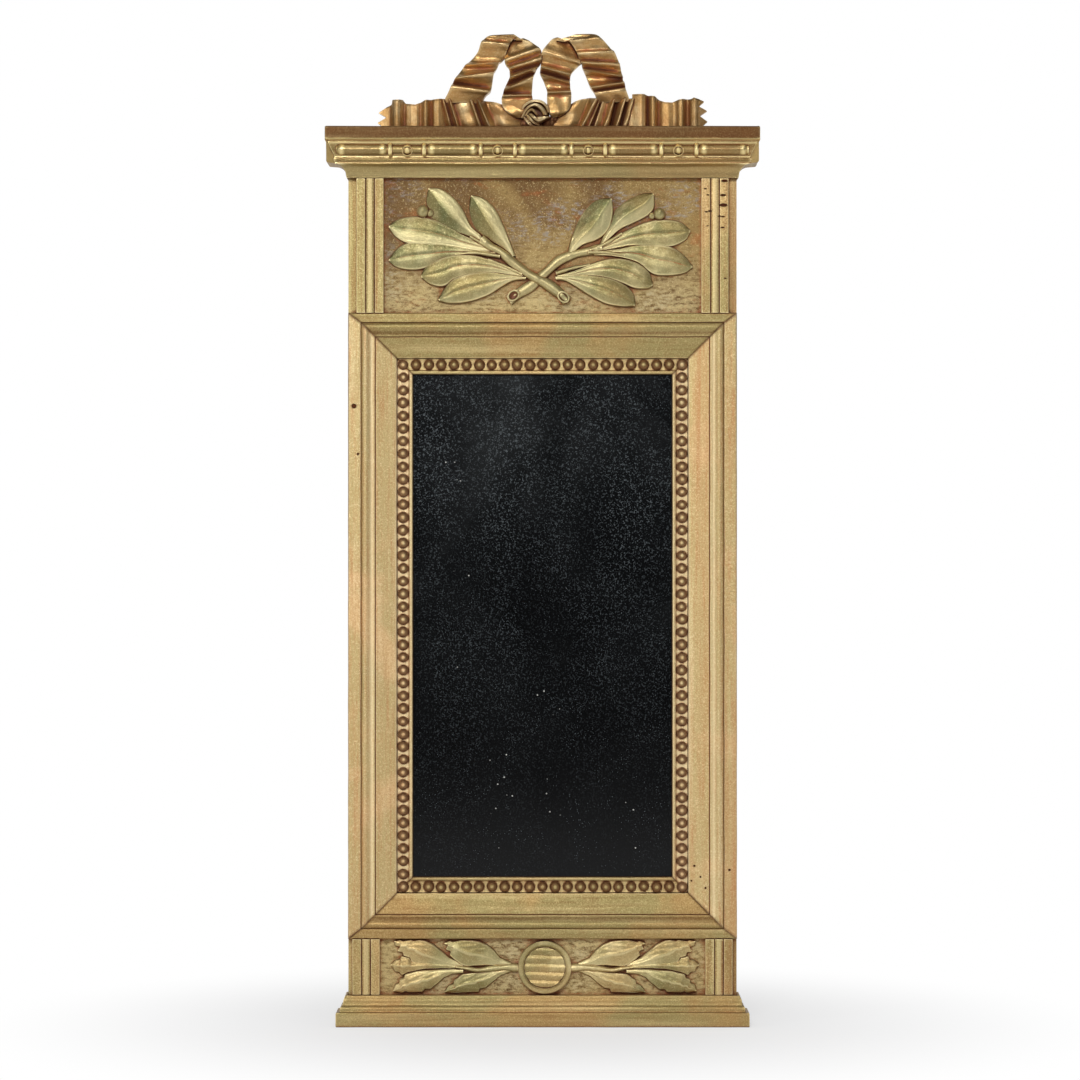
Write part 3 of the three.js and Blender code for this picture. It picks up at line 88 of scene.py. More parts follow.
# ---------------------------------------------------------------------------- shader maths
class Graph:
    """The node tree of one material or world, with one method that adds any node."""

    def __init__(self, owner: bpy.types.Material | bpy.types.World) -> None:
        """Starts from an empty tree.

        Args:
            owner: What the tree belongs to.
        """
        owner.use_nodes = True
        self.tree = owner.node_tree
        self.tree.nodes.clear()

    def node(
        self, kind: str, settings: Values | None = None, inputs: Values | None = None,
        output: str | int = 0,
    ) -> "Wire":
        """Adds a node.

        Args:
            kind: The node's type name.
            settings: What is set on the node first.
            inputs: The value or link of each socket, by name or number.
            output: The socket that is handed back.

        Returns:
            The chosen output socket.
        """
        made = self.tree.nodes.new(kind)
        for name, value in (settings or {}).items():
            setattr(made, name, value)
        for name, value in (inputs or {}).items():
            if isinstance(value, Wire):
                self.tree.links.new(value.socket, made.inputs[name])
            else:
                made.inputs[name].default_value = value
        return Wire(self, made.outputs[output] if len(made.outputs) else None)

    def maths(self, operation: str, a: object, b: object = 0.0, clamp: bool = False) -> "Wire":
        """Adds a Math node on two numbers or links."""
        settings = {"operation": operation, "use_clamp": clamp}
        return self.node("ShaderNodeMath", settings, {0: a, 1: b})

    def vector(self, operation: str, a: object, b: Point, output: str | int = 0) -> "Wire":
        """Adds a Vector Math node."""
        return self.node("ShaderNodeVectorMath", {"operation": operation}, {0: a, 1: b}, output)

    def place(self, stretch: Point = (1, 1, 1)) -> "Wire":
        """Gives the object coordinates, stretched along the axes."""
        return self.vector("MULTIPLY", self.node("ShaderNodeTexCoord", output="Object"), stretch)

    def height(self, low: float, high: float) -> "Wire":
        """Rises from 0 at one height to 1 at another."""
        return self.band(self.part(self.place(), "Z"), low, high)

    def part(self, vector: "Wire", axis: str) -> "Wire":
        """Takes one component out of a vector."""
        return self.node("ShaderNodeSeparateXYZ", None, {0: vector}, axis)

    def noise(
        self, scale: float, stretch: Point = (1, 1, 1), detail: float = 3.0,
        roughness: float = 0.55, distortion: float = 0.0,
    ) -> "Wire":
        """Adds a noise.

        Args:
            scale: Lumps per metre.
            stretch: Further lumps along each axis, as factors.
            detail: Octaves of finer noise.
            roughness: Strength of the finer octaves.
            distortion: How far the lumps are pulled about.

        Returns:
            The noise, about 0.5 in the middle.
        """
        inputs = {"Vector": self.place(stretch), "Scale": scale, "Detail": detail}
        inputs |= {"Roughness": roughness, "Distortion": distortion}
        return self.node("ShaderNodeTexNoise", None, inputs, "Fac")

    def specks(self, scale: float, share: float) -> "Wire":
        """Marks specks in random cells: so many per metre, each taking up a share of its cell.

        Args:
            scale: Cells per metre.
            share: A speck's radius, as a share of its cell.

        Returns:
            A mask.
        """
        inputs = {"Vector": self.place(), "Scale": scale}
        near = self.node("ShaderNodeTexVoronoi", None, inputs, "Distance")
        return self.band(near, share, share * 0.6)

    def band(self, value: object, low: float, high: float) -> "Wire":
        """Rises smoothly from 0 at low to 1 at high.

        Args:
            value: What is read.
            low: Where the rise starts.
            high: Where it ends; below low, it falls instead.

        Returns:
            The value from 0 to 1.
        """
        if low > high:
            return 1 - self.band(value, high, low)
        inputs = {"Value": value, "From Min": low, "From Max": high}
        return self.node("ShaderNodeMapRange", {"interpolation_type": "SMOOTHSTEP"}, inputs)

    def mark(self, name: str) -> "Wire":
        """Reads a value that the mesh holds for each point."""
        return self.node("ShaderNodeAttribute", {"attribute_name": name}, output="Fac")

    def blend(self, share: object, first: object, second: object) -> "Wire":
        """Mixes two colours, by a share of the second."""
        return self.node("ShaderNodeMix", {"data_type": "RGBA"}, {0: share, 6: first, 7: second}, 2)

    def shadowed(self, reach: float) -> "Wire":
        """Gives how closed in a point is by what lies within reach, 0 in the open."""
        inputs = {"Distance": reach}
        return 1 - self.node("ShaderNodeAmbientOcclusion", {"samples": 6}, inputs, "AO")

    def back(self) -> "Wire":
        """Marks the faces that look to the wall, which were left as bare wood."""
        normal = self.node("ShaderNodeNewGeometry", output="True Normal")
        return self.band(self.part(normal, "Y"), 0.8, 0.95)

    def bump(self, height: object, strength: float, distance: float) -> "Wire":
        """Adds a bump from a height."""
        inputs = {"Strength": strength, "Distance": distance, "Height": height}
        return self.node("ShaderNodeBump", None, inputs)

    def rays(self) -> list["Wire"]:
        """Tells camera, glossy and transmission rays apart."""
        kinds = ("Camera", "Glossy", "Transmission")
        return [self.node("ShaderNodeLightPath", output=f"Is {kind} Ray") for kind in kinds]


class Wire:
    """A socket that can stand in Python expressions."""

    def __init__(self, graph: Graph, socket: bpy.types.NodeSocket | None) -> None:
        """Holds the socket and the graph that it belongs to."""
        self.graph = graph
        self.socket = socket

    def __add__(self, other: object) -> "Wire":
        """Adds a number or another socket."""
        return self.graph.maths("ADD", self, other)

    __radd__ = __add__

    def __sub__(self, other: object) -> "Wire":
        """Takes a number or another socket away."""
        return self.graph.maths("SUBTRACT", self, other)

    def __rsub__(self, other: object) -> "Wire":
        """Takes the socket away from a number."""
        return self.graph.maths("SUBTRACT", other, self)

    def __mul__(self, other: object) -> "Wire":
        """Multiplies by a number or another socket."""
        return self.graph.maths("MULTIPLY", self, other)

    __rmul__ = __mul__

    def clipped(self) -> "Wire":
        """Keeps the value between 0 and 1."""
        return self.graph.maths("ADD", self, 0.0, clamp=True)

    def at_least(self, other: object) -> "Wire":
        """Gives the larger of two values."""
        return self.graph.maths("MAXIMUM", self, other)


# ---------------------------------------------------------------------------- finishes
class Slot(Enum):
    """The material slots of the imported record."""

    GILDING = "gilding"
    WORN_GROUND = "worn_ground"
    BARE_PINE = "bare_pine"
    OLD_MIRROR = "old_mirror"
    DARK_IRON = "dark_iron"


class Run(Enum):
    """The way that brush and grain run, as a stretch of the texture along X, Y and Z."""

    LEVEL = (0.03, 1.0, 1.0)
    UPRIGHT = (1.0, 1.0, 0.03)
    INWARD = (1.0, 0.03, 1.0)
    LOOSE = (0.4, 0.7, 0.4)


BARE_PALE = rgb(158, 118, 76)
BARE_DARK = rgb(98, 66, 38)


@dataclass(frozen=True)
class Finish:
    """What every finish has: a name, a slot and a material, which is built once."""

    name: str
    slot: ClassVar[Slot]

    def paint(self, g: Graph) -> Values:
        """Builds the nodes and gives the inputs of the principled shader."""
        raise NotImplementedError

    @cache
    def material(self) -> bpy.types.Material:
        """Gives the material, and builds it when it is first asked for.

        Returns:
            The material.
        """
        made = bpy.data.materials.new(self.name)
        g = Graph(made)
        shader = g.node("ShaderNodeBsdfPrincipled", None, self.paint(g))
        g.node("ShaderNodeOutputMaterial", None, {"Surface": shader})
        return made


@dataclass(frozen=True)
class Gilding(Finish):
    """Bronze gilding over red bole: brushed, rubbed at its edges and brown with bole and grime in
    its hollows, with painted shade there and painted highlights on its edges.

    Spots are small holes and dents: X, Z and radius in millimetres, the height flattened.
    """

    run: Run
    gold: Colour = rgb(192, 158, 98)
    olive: Colour = rgb(160, 142, 88)
    light: Colour = rgb(240, 214, 150)
    copper: Colour = rgb(132, 88, 50)
    bole: Colour = rgb(160, 78, 32)
    dirt_and_shade: Colour = rgb(70, 34, 16)
    worn: Colour = rgb(110, 64, 38)
    olive_share: float = 0.5
    bole_patches: float = 0.3
    grain: float = 1.0
    depth: float = 1.0
    edge_highlight: float = 0.75
    polish: float = 0.0
    spots: tuple[Point, ...] = ()
    flatness: float = 1.0
    slot = Slot.GILDING

    def paint(self, g: Graph) -> Values:
        """Lays gold, rubbing, grime, painted highlights and painted shade over each other.

        Args:
            g: The graph that takes the nodes.

        Returns:
            The inputs by name.
        """
        run = self.run.value
        strokes = g.noise(430, run, detail=4, roughness=0.65)
        broad = g.noise(90, run)
        fleck = g.noise(680, detail=2, roughness=0.9)
        glint = 0.12 + 0.4 * self.grain

        # Two golds in large patches, with lighter and darker brush strokes and flecks of bronze,
        # the light flecks partly painted glints.
        low = 0.62 - 0.3 * self.olive_share
        tone = g.band(g.noise(9, detail=4, distortion=0.6), low, low + 0.18)
        colour = g.blend(tone, self.olive, self.gold)
        colour = g.blend(g.band(broad, 0.5, 0.75) * 0.4, colour, self.light)
        colour = g.blend(g.band(broad, 0.46, 0.28) * 0.3, colour, self.copper)
        colour = g.blend(g.band(strokes, 0.55, 0.3) * 0.55 * self.grain, colour, self.copper)
        colour = g.blend(g.band(fleck, 0.52, 0.68) * glint, colour, self.light)
        colour = g.blend(g.band(fleck, 0.48, 0.32) * glint, colour, self.copper)

        # Bole where the gold is rubbed through; light gold on edges and where the marks are below
        # 0, mostly painted highlight and in places clean gold.
        way = run if self.grain >= 1 else (1, 1, 1)
        rubbed = g.band(g.noise(34, way, 5, 0.7), 0.5, 0.68) * self.bole_patches
        wear_and_light = g.mark("wear_and_light")
        highlight_and_clean = (0 - wear_and_light).clipped()
        worn = (wear_and_light * 0.97).clipped()
        colour = g.blend(rubbed * 0.7, colour, self.bole)
        colour = g.blend(g.band(g.mark("edge"), 0.08, 0.5) * self.edge_highlight, colour, self.light)
        colour = g.blend(highlight_and_clean * 0.85, colour, self.light)

        # Red bole, then dark brown, in hollows and corners, from creases and occlusion: partly bole
        # and grime, partly painted shade.
        ragged = g.noise(220, detail=4) - 0.5
        corners = g.band(g.shadowed(7 * MM), 0.3, 0.8) * 0.8
        corners = corners + g.band(g.shadowed(1.6 * MM), 0.2, 0.5) * 1.1
        deep = (g.mark("hollow") * 1.2 + corners) * self.depth + ragged * 0.4
        deep = (deep * (1 - highlight_and_clean * 0.85)).clipped()
        red = g.band(deep, 0.14, 0.46)
        brown = g.band(deep, 0.4, 0.85)
        colour = g.blend(red * 0.8, colour, self.bole)
        colour = g.blend(brown * 0.9, colour, self.dirt_and_shade)
        colour = g.blend(worn, colour, self.worn)

        height = strokes * 0.6 + fleck * glint * 1.6 + g.noise(240) * 0.9
        # Holes and dents are filled dark, with grime and painted shade.
        for hole in self.holes(g):
            colour = g.blend(hole, colour, self.dirt_and_shade)
            height = height - hole * 6
        back = g.back()
        colour = g.blend(back, colour, g.blend(strokes, BARE_DARK, BARE_PALE))
        dull = (red * 0.6 + brown * 0.3 + rubbed * 0.5 + back * 1.3).clipped()
        rough = 0.4 - self.polish + g.noise(55) * 0.1 + g.band(fleck, 0.6, 0.35) * 0.12 + dull * 0.2
        rough = rough + g.band(worn, 0.05, 0.3) * 0.3 - g.band(worn, 0.6, 1.0) * 0.45
        return {
            "Base Color": colour,
            "Metallic": (0.85 - dull * 0.7).clipped(),
            "Roughness": rough.clipped(),
            "Normal": g.bump(height, 0.6, 0.5 * MM),
        }

    def holes(self, g: Graph) -> list[Wire]:
        """Marks the spots, all in one wire, or in none where there are no spots.

        Args:
            g: The graph that takes the nodes.

        Returns:
            No mask or one.
        """
        marked: list[Wire] = []
        for x, z, radius in self.spots:
            flat = g.place((1, 0, self.flatness))
            away = g.vector("DISTANCE", flat, (x * MM, 0, z * MM * self.flatness), "Value")
            hole = g.band(away, radius * 1.15 * MM, radius * 0.8 * MM)
            marked = [marked[0].at_least(hole)] if marked else [hole]
        return marked


@dataclass(frozen=True)
class WornGround(Finish):
    """The flat grounds behind the carving: dull brown gold, scraped to blue-grey gesso, with
    painted shade round the carving.
    """

    gold: Colour = rgb(164, 136, 84)
    brown: Colour = rgb(124, 94, 56)
    grey: Colour = rgb(160, 156, 152)
    bole: Colour = rgb(184, 98, 48)
    dirt_and_shade: Colour = rgb(66, 38, 20)
    light: Colour = rgb(226, 206, 150)
    slot = Slot.WORN_GROUND

    def paint(self, g: Graph) -> Values:
        """Lays the scraped gold over gesso.

        Args:
            g: The graph that takes the nodes.

        Returns:
            The inputs by name.
        """
        flat = (0.5, 1, 1)
        scrape = g.noise(330, (0.4, 1.0, 1.0), detail=6, roughness=0.75)
        grit = g.noise(620, roughness=0.8)
        tone = g.band(g.noise(9, distortion=0.8), 0.4, 0.62)
        colour = g.blend(tone, self.brown, self.gold)
        colour = g.blend(g.band(scrape, 0.5, 0.3) * 0.45, colour, self.dirt_and_shade)
        grey = g.band(scrape, 0.48, 0.62) * g.band(g.noise(24, flat, detail=5), 0.46, 0.6)
        colour = g.blend(grey * 0.75, colour, self.grey)
        bole = g.band(g.noise(60, flat, detail=6, roughness=0.75), 0.55, 0.68)
        colour = g.blend(bole * 0.4, colour, self.bole)

        # The scraped patches are lighter in the lower part of the frieze.
        low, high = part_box("frieze_panel")
        clean = g.height(high.z - 50 * MM, low.z) * g.band(scrape, 0.35, 0.6)
        colour = g.blend(clean * 0.7, colour, self.light)
        colour = g.blend(g.band(grit, 0.55, 0.68) * 0.7, colour, self.light)
        colour = g.blend(g.band(grit, 0.42, 0.3) * 0.5, colour, self.dirt_and_shade)

        # Bole, then dark brown, round the carving and the panel's edges, from occlusion: partly
        # bole and grime, partly painted shade.
        ragged = (g.noise(240, detail=4, roughness=0.7) - 0.5) * 0.6
        deep = g.band(g.shadowed(8 * MM) + ragged, 0.28, 0.72)
        colour = g.blend(g.band(deep, 0.25, 0.7) * 0.85, colour, self.bole)
        colour = g.blend(g.band(deep, 0.75, 1.0) * 0.6, colour, self.dirt_and_shade)
        height = scrape * 1.4 + grit * 0.8 + g.noise(260, (0.4, 1, 1), detail=4) * 1.2
        back = g.back()
        colour = g.blend(back, colour, g.blend(scrape, BARE_DARK, BARE_PALE))
        return {
            "Base Color": colour,
            "Metallic": (0.7 - grey * 0.5 - deep * 0.5 - back).clipped(),
            "Roughness": (0.44 + grey * 0.25 + scrape * 0.15).clipped(),
            "Normal": g.bump(height, 0.8, 0.6 * MM),
        }


@dataclass(frozen=True)
class Pine(Finish):
    """Old bare pine: brown with age, with a grain, a few knots, dark handling marks and painted
    shade in its corners.
    """

    run: Run
    soot_and_shade: Colour = rgb(58, 42, 30)
    slot = Slot.BARE_PINE

    def paint(self, g: Graph) -> Values:
        """Lays rings, fibres, stains and painted shade over each other.

        Args:
            g: The graph that takes the nodes.

        Returns:
            The inputs by name.
        """
        run = self.run.value
        axis = "Z" if self.run is Run.UPRIGHT else "X"
        inputs = {"Vector": g.place(), "Scale": 34.0, "Distortion": 9.0, "Detail": 3.0}
        inputs |= {"Detail Scale": 0.4, "Phase Offset": g.noise(5, run, detail=2) * 6}
        settings = {"wave_type": "RINGS", "rings_direction": axis}
        rings = g.node("ShaderNodeTexWave", settings, inputs, "Fac")
        fibre = g.noise(600, run, detail=4, roughness=0.7)
        stain = g.noise(12, detail=4)
        colour = g.blend(rings * 0.4, BARE_PALE, BARE_DARK)
        colour = g.blend(g.band(fibre, 0.5, 0.75) * 0.5, colour, BARE_DARK)
        colour = g.blend(g.band(stain, 0.5, 0.75) * 0.6, colour, self.soot_and_shade)
        # Painted shade: corners and places close under other parts are darkened.
        colour = g.blend(g.band(g.shadowed(10 * MM), 0.3, 0.9) * 0.7, colour, self.soot_and_shade)
        return {
            "Base Color": colour,
            "Roughness": (0.72 + fibre * 0.2).clipped(),
            "Normal": g.bump(fibre + rings * 0.4, 0.5, 0.3 * MM),
        }


@dataclass(frozen=True)
class OldMirror(Finish):
    """A silvered glass gone nearly black, with a veil and foxing that are lighter towards the top,
    and white flakes.
    """

    silver: Colour = rgb(34, 37, 38)
    black: Colour = rgb(8, 8, 9)
    haze: Colour = rgb(104, 112, 116)
    flake: Colour = rgb(206, 206, 200)
    slot = Slot.OLD_MIRROR

    def paint(self, g: Graph) -> Values:
        """Lays veil, foxing, sparks and flakes over the black.

        Args:
            g: The graph that takes the nodes.

        Returns:
            The inputs by name.
        """
        clouds = g.noise(7, detail=5, distortion=0.5)
        low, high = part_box("mirror_glass")
        upper = g.height(low.z, high.z)
        veil = (g.band(clouds, 0.3, 0.7) * 0.6 + 0.25) * (upper * 0.75 + 0.05)
        colour = g.blend(veil, self.black, self.silver)
        bloom = g.band(g.noise(16, (1, 1, 0.4), detail=4), 0.3, 0.65) * 0.7 + 0.3
        foxing = g.band(g.noise(620, detail=2, roughness=0.8), 0.54, 0.66) * bloom
        foxing = foxing * (upper * 0.85 + 0.15)
        colour = g.blend(foxing * 0.65, colour, self.haze)
        sparks = g.specks(400, 0.15) * g.band(g.noise(40), 0.42, 0.6)
        colour = g.blend(sparks * 0.8, colour, self.haze)
        flakes = g.specks(120, 0.1) * g.band(g.noise(15), 0.6, 0.64)
        colour = g.blend(flakes, colour, self.flake)
        marks = (foxing * 0.5 + sparks * 0.7 + flakes + veil * 0.5).clipped()
        return {
            "Base Color": colour,
            "Metallic": (0.3 - marks * 0.3).clipped(),
            "Roughness": (0.1 + marks * 0.4 + clouds * 0.05).clipped(),
            "Specular IOR Level": 0.25,
            "Normal": g.bump(g.noise(14, detail=1), 0.05, 0.2 * MM),
        }


@dataclass(frozen=True)
class Iron(Finish):
    """Dark hand-made ironwork with a bloom of rust."""

    steel: Colour = rgb(88, 84, 80)
    dark: Colour = rgb(46, 42, 40)
    rust: Colour = rgb(112, 62, 34)
    slot = Slot.DARK_IRON

    def paint(self, g: Graph) -> Values:
        """Lays rust over dark steel.

        Args:
            g: The graph that takes the nodes.

        Returns:
            The inputs by name.
        """
        bloom = g.band(g.noise(180, detail=5, roughness=0.7), 0.48, 0.66)
        colour = g.blend(g.noise(60), self.dark, self.steel)
        return {
            "Base Color": g.blend(bloom * 0.7, colour, self.rust),
            "Metallic": (0.85 - bloom * 0.7).clipped(),
            "Roughness": (0.42 + bloom * 0.4).clipped(),
            "Normal": g.bump(g.noise(500, detail=4), 0.4, 0.2 * MM),
        }




NAIL_HOLES = (
    (-188.5, -180, 2.4), (-184.5, -228, 1.3), (152, -640, 1.2), (158, -651, 1.0),
    (149, -655, 0.9), (163, -662, 1.1), (187, -644, 1.3),
)
PILASTER_DABS = (
    (181, 21, 4), (182, 45.2, 3.2), (180.6, 30.9, 2.8), (177, 9.9, 1.8),
    (180.4, 9.5, 2), (180.1, -1.4, 2), (163.8, 14.2, 1.8), (167.6, 15, 2.2),
    (165.4, 31.1, 1.5), (162.8, 37.3, 1.6), (165, 0.1, 1.3), (182.7, -52.3, 1.6),
)
# The upright members get lighter, warmer golds than the level ones: partly the gilding's own tone,
# partly painted light on their flats.
GILT_LEVEL = Gilding(
    "gilding_level", Run.LEVEL,
    gold=rgb(182, 150, 96), olive=rgb(166, 150, 98),
    light=rgb(232, 208, 152), copper=rgb(136, 98, 54),
    olive_share=0.7, bole_patches=0.15, grain=0.7,
)
GILT_UPRIGHT = Gilding(
    "gilding_upright", Run.UPRIGHT,
    gold=rgb(226, 192, 140), olive=rgb(202, 180, 126),
    light=rgb(252, 232, 186), copper=rgb(196, 140, 90),
    bole=rgb(196, 120, 70), dirt_and_shade=rgb(84, 44, 22),
    olive_share=0.35, bole_patches=0.4, spots=NAIL_HOLES,
)
GILT_PILASTER = Gilding(
    "gilding_pilaster", Run.UPRIGHT,
    gold=rgb(204, 172, 116), olive=rgb(178, 162, 106),
    light=rgb(248, 228, 172), copper=rgb(150, 100, 58),
    bole_patches=0.5, depth=1.2, spots=PILASTER_DABS, flatness=2.4,
)
GILT_INWARD = Gilding(
    "gilding_inward", Run.INWARD, gold=rgb(150, 118, 70), olive=rgb(132, 112, 68), grain=0.8
)
GILT_CORNICE = Gilding(
    "gilding_cornice", Run.LEVEL,
    gold=rgb(142, 110, 64), olive=rgb(130, 110, 66),
    light=rgb(244, 222, 160), copper=rgb(100, 70, 40),
    bole_patches=0.12, grain=0.25, depth=1.2, polish=0.14,
)
GILT_CARVED = Gilding(
    "gilding_carved", Run.LOOSE,
    gold=rgb(144, 130, 82), olive=rgb(106, 110, 70),
    light=rgb(250, 234, 178), copper=rgb(128, 104, 64),
    olive_share=0.75, bole_patches=0.12, grain=0.35, depth=1.5, edge_highlight=0.6, polish=0.06,
)
GILT_BASE = replace(
    GILT_CARVED, name="gilding_base", gold=rgb(184, 158, 106), olive=rgb(144, 134, 86)
)
GILT_RIBBON = Gilding(
    "gilding_ribbon", Run.LOOSE,
    gold=rgb(200, 158, 98), olive=rgb(172, 136, 84),
    light=rgb(255, 236, 186), copper=rgb(146, 92, 52),
    bole_patches=0.2, grain=0.1, depth=1.2, edge_highlight=0.25, polish=0.15,
)
GROUND = WornGround("worn_ground")
PINE_UPRIGHT = Pine("pine_upright", Run.UPRIGHT)
PINE_LEVEL = Pine("pine_level", Run.LEVEL)
MIRROR = OldMirror("old_mirror")
IRON = Iron("dark_iron")


# ---------------------------------------------------------------------------- lines and points
def near(anchor: Pair, *steps: Pair) -> list[Pair]:
    """Lists points by their steps, in millimetres, from an anchor."""
    return [(anchor[0] + a * MM, anchor[1] + b * MM) for a, b in steps]


def arc(
    centre: Pair, radius: float, start: float, end: float, count: int
) -> list[Pair]:
    """Lists points on an arc between two angles, in radians."""
    angles = np.linspace(start, end, count)
    return [(centre[0] + radius * math.cos(t), centre[1] + radius * math.sin(t)) for t in angles]


def rounded(outline: Outline, radius: float, steps: int) -> list[Pair]:
    """Rounds the corners of a closed outline, in steps that begin at most a radius away.

    Args:
        outline: Its corners.
        radius: How far from a corner a round begins, at most.
        steps: Steps in each round.

    Returns:
        The outline with round corners.
    """
    corners = np.array(outline, float)
    result = []
    for i, corner in enumerate(corners):
        ways = (corners[i - 1] - corner, corners[(i + 1) % len(corners)] - corner)
        lengths = [np.linalg.norm(way) for way in ways]
        reach = [min(radius, 0.45 * run) / max(run, 1e-9) for run in lengths]
        start, end = (corner + way * share for way, share in zip(ways, reach))
        for t in np.linspace(0, 1, steps + 1):
            result.append(tuple((1 - t) ** 2 * start + 2 * t * (1 - t) * corner + t * t * end))
    return result


def refined(outline: Outline, spacing: float) -> np.ndarray:
    """Adds points to the long sides of a closed outline.

    Args:
        outline: Its corners.
        spacing: The distance that is allowed between points, about.

    Returns:
        The points, one row each.
    """
    corners = np.array(outline, float)
    result = []
    for corner, following in zip(corners, np.roll(corners, -1, 0)):
        parts = max(1, int(np.linalg.norm(following - corner) / spacing))
        result.extend(corner + (following - corner) * k / parts for k in range(parts))
    return np.array(result)


def spline(points: Sequence[Sequence[float]], shares: np.ndarray) -> np.ndarray:
    """Runs a smooth curve through points, and reads it at shares from 0 to 1.

    Args:
        points: What the curve runs through, one row each.
        shares: Where it is read.

    Returns:
        The points of the curve.
    """
    knots = np.array(points, float)
    padded = np.vstack([2 * knots[0] - knots[1], knots, 2 * knots[-1] - knots[-2]])
    run = shares * (len(knots) - 1)
    step = np.minimum(run.astype(int), len(knots) - 2)
    t = (run - step)[:, None]
    a, b, c, d = (padded[step + k] for k in range(4))
    curve = 2 * b + (c - a) * t + (2 * a - 5 * b + 4 * c - d) * t**2
    return 0.5 * (curve + (3 * b - a - 3 * c + d) * t**3)


def stack(x: np.ndarray, depth: np.ndarray, z: np.ndarray) -> np.ndarray:
    """Puts together points from their place across, depth and height."""
    x, depth, z = np.broadcast_arrays(x, depth, z)
    return np.stack([x, -depth, z], axis=-1)


def bell(values: np.ndarray, middle: float, width: float) -> np.ndarray:
    """Gives 1 at the middle and falls off smoothly on both sides."""
    return np.exp(-(((values - middle) / width) ** 2))


def centre_of(low: Vector, high: Vector) -> Pair:
    """Gives X and Z of the middle of a box."""
    return (low.x + high.x) / 2, (low.z + high.z) / 2


def swept(
    section: np.ndarray,
    start: Callable[[np.ndarray], np.ndarray],
    end: Callable[[np.ndarray], np.ndarray],
    place: Callable[[np.ndarray, np.ndarray, np.ndarray], np.ndarray],
) -> np.ndarray:
    """Runs a section from a start to an end, which may be mitred.

    Args:
        section: Its points, one row each.
        start: Gives the start for the points' first values.
        end: Gives the end for the points' first values.
        place: Puts points of the section at a distance along into space.

    Returns:
        The rings, as stations x points x 3, the outer ones close to the ends.
    """
    a, d = section.T
    first, last = start(a), end(a)
    length = np.abs(last - first).max()
    seam, stations = 0.7 * MM / length, max(2, int(length / (3 * MM)))
    shares = np.concatenate([[0], np.linspace(seam, 1 - seam, stations), [1]])
    return np.array([place(a, d, first + (last - first) * share) for share in shares])


def seamed(rings: np.ndarray, inside: np.ndarray) -> np.ndarray:
    """Repeats a ring's marks of rubbing and painted light along a swept piece, and darkens both of
    its ends.

    Args:
        rings: The rings of the piece.
        inside: The marks of one ring.

    Returns:
        The marks of all points.
    """
    marks = np.tile(inside, (len(rings), 1))
    marks[[0, -1]] = 1.0
    marks[[1, -2]] = np.maximum(marks[[1, -2]], 0.35)
    return marks.reshape(-1)


def waves(points: np.ndarray, amount: float, seed: int, length: float) -> np.ndarray:
    """Sums a few slow random waves at each point.

    Args:
        points: Where the waves are read.
        amount: The largest move.
        seed: Number of the random series.
        length: The length of the longest waves.

    Returns:
        A move for each point.
    """
    rng = np.random.default_rng(seed)
    move = np.zeros_like(points)
    for octave in range(6):
        way = rng.normal(size=3)
        way *= 2 * math.pi / (length * 0.72**octave) / np.linalg.norm(way)
        push = rng.normal(size=3) * (0.8**octave)
        move += np.sin(points @ way + rng.uniform(0, 2 * math.pi))[:, None] * push
    return move * amount / 3


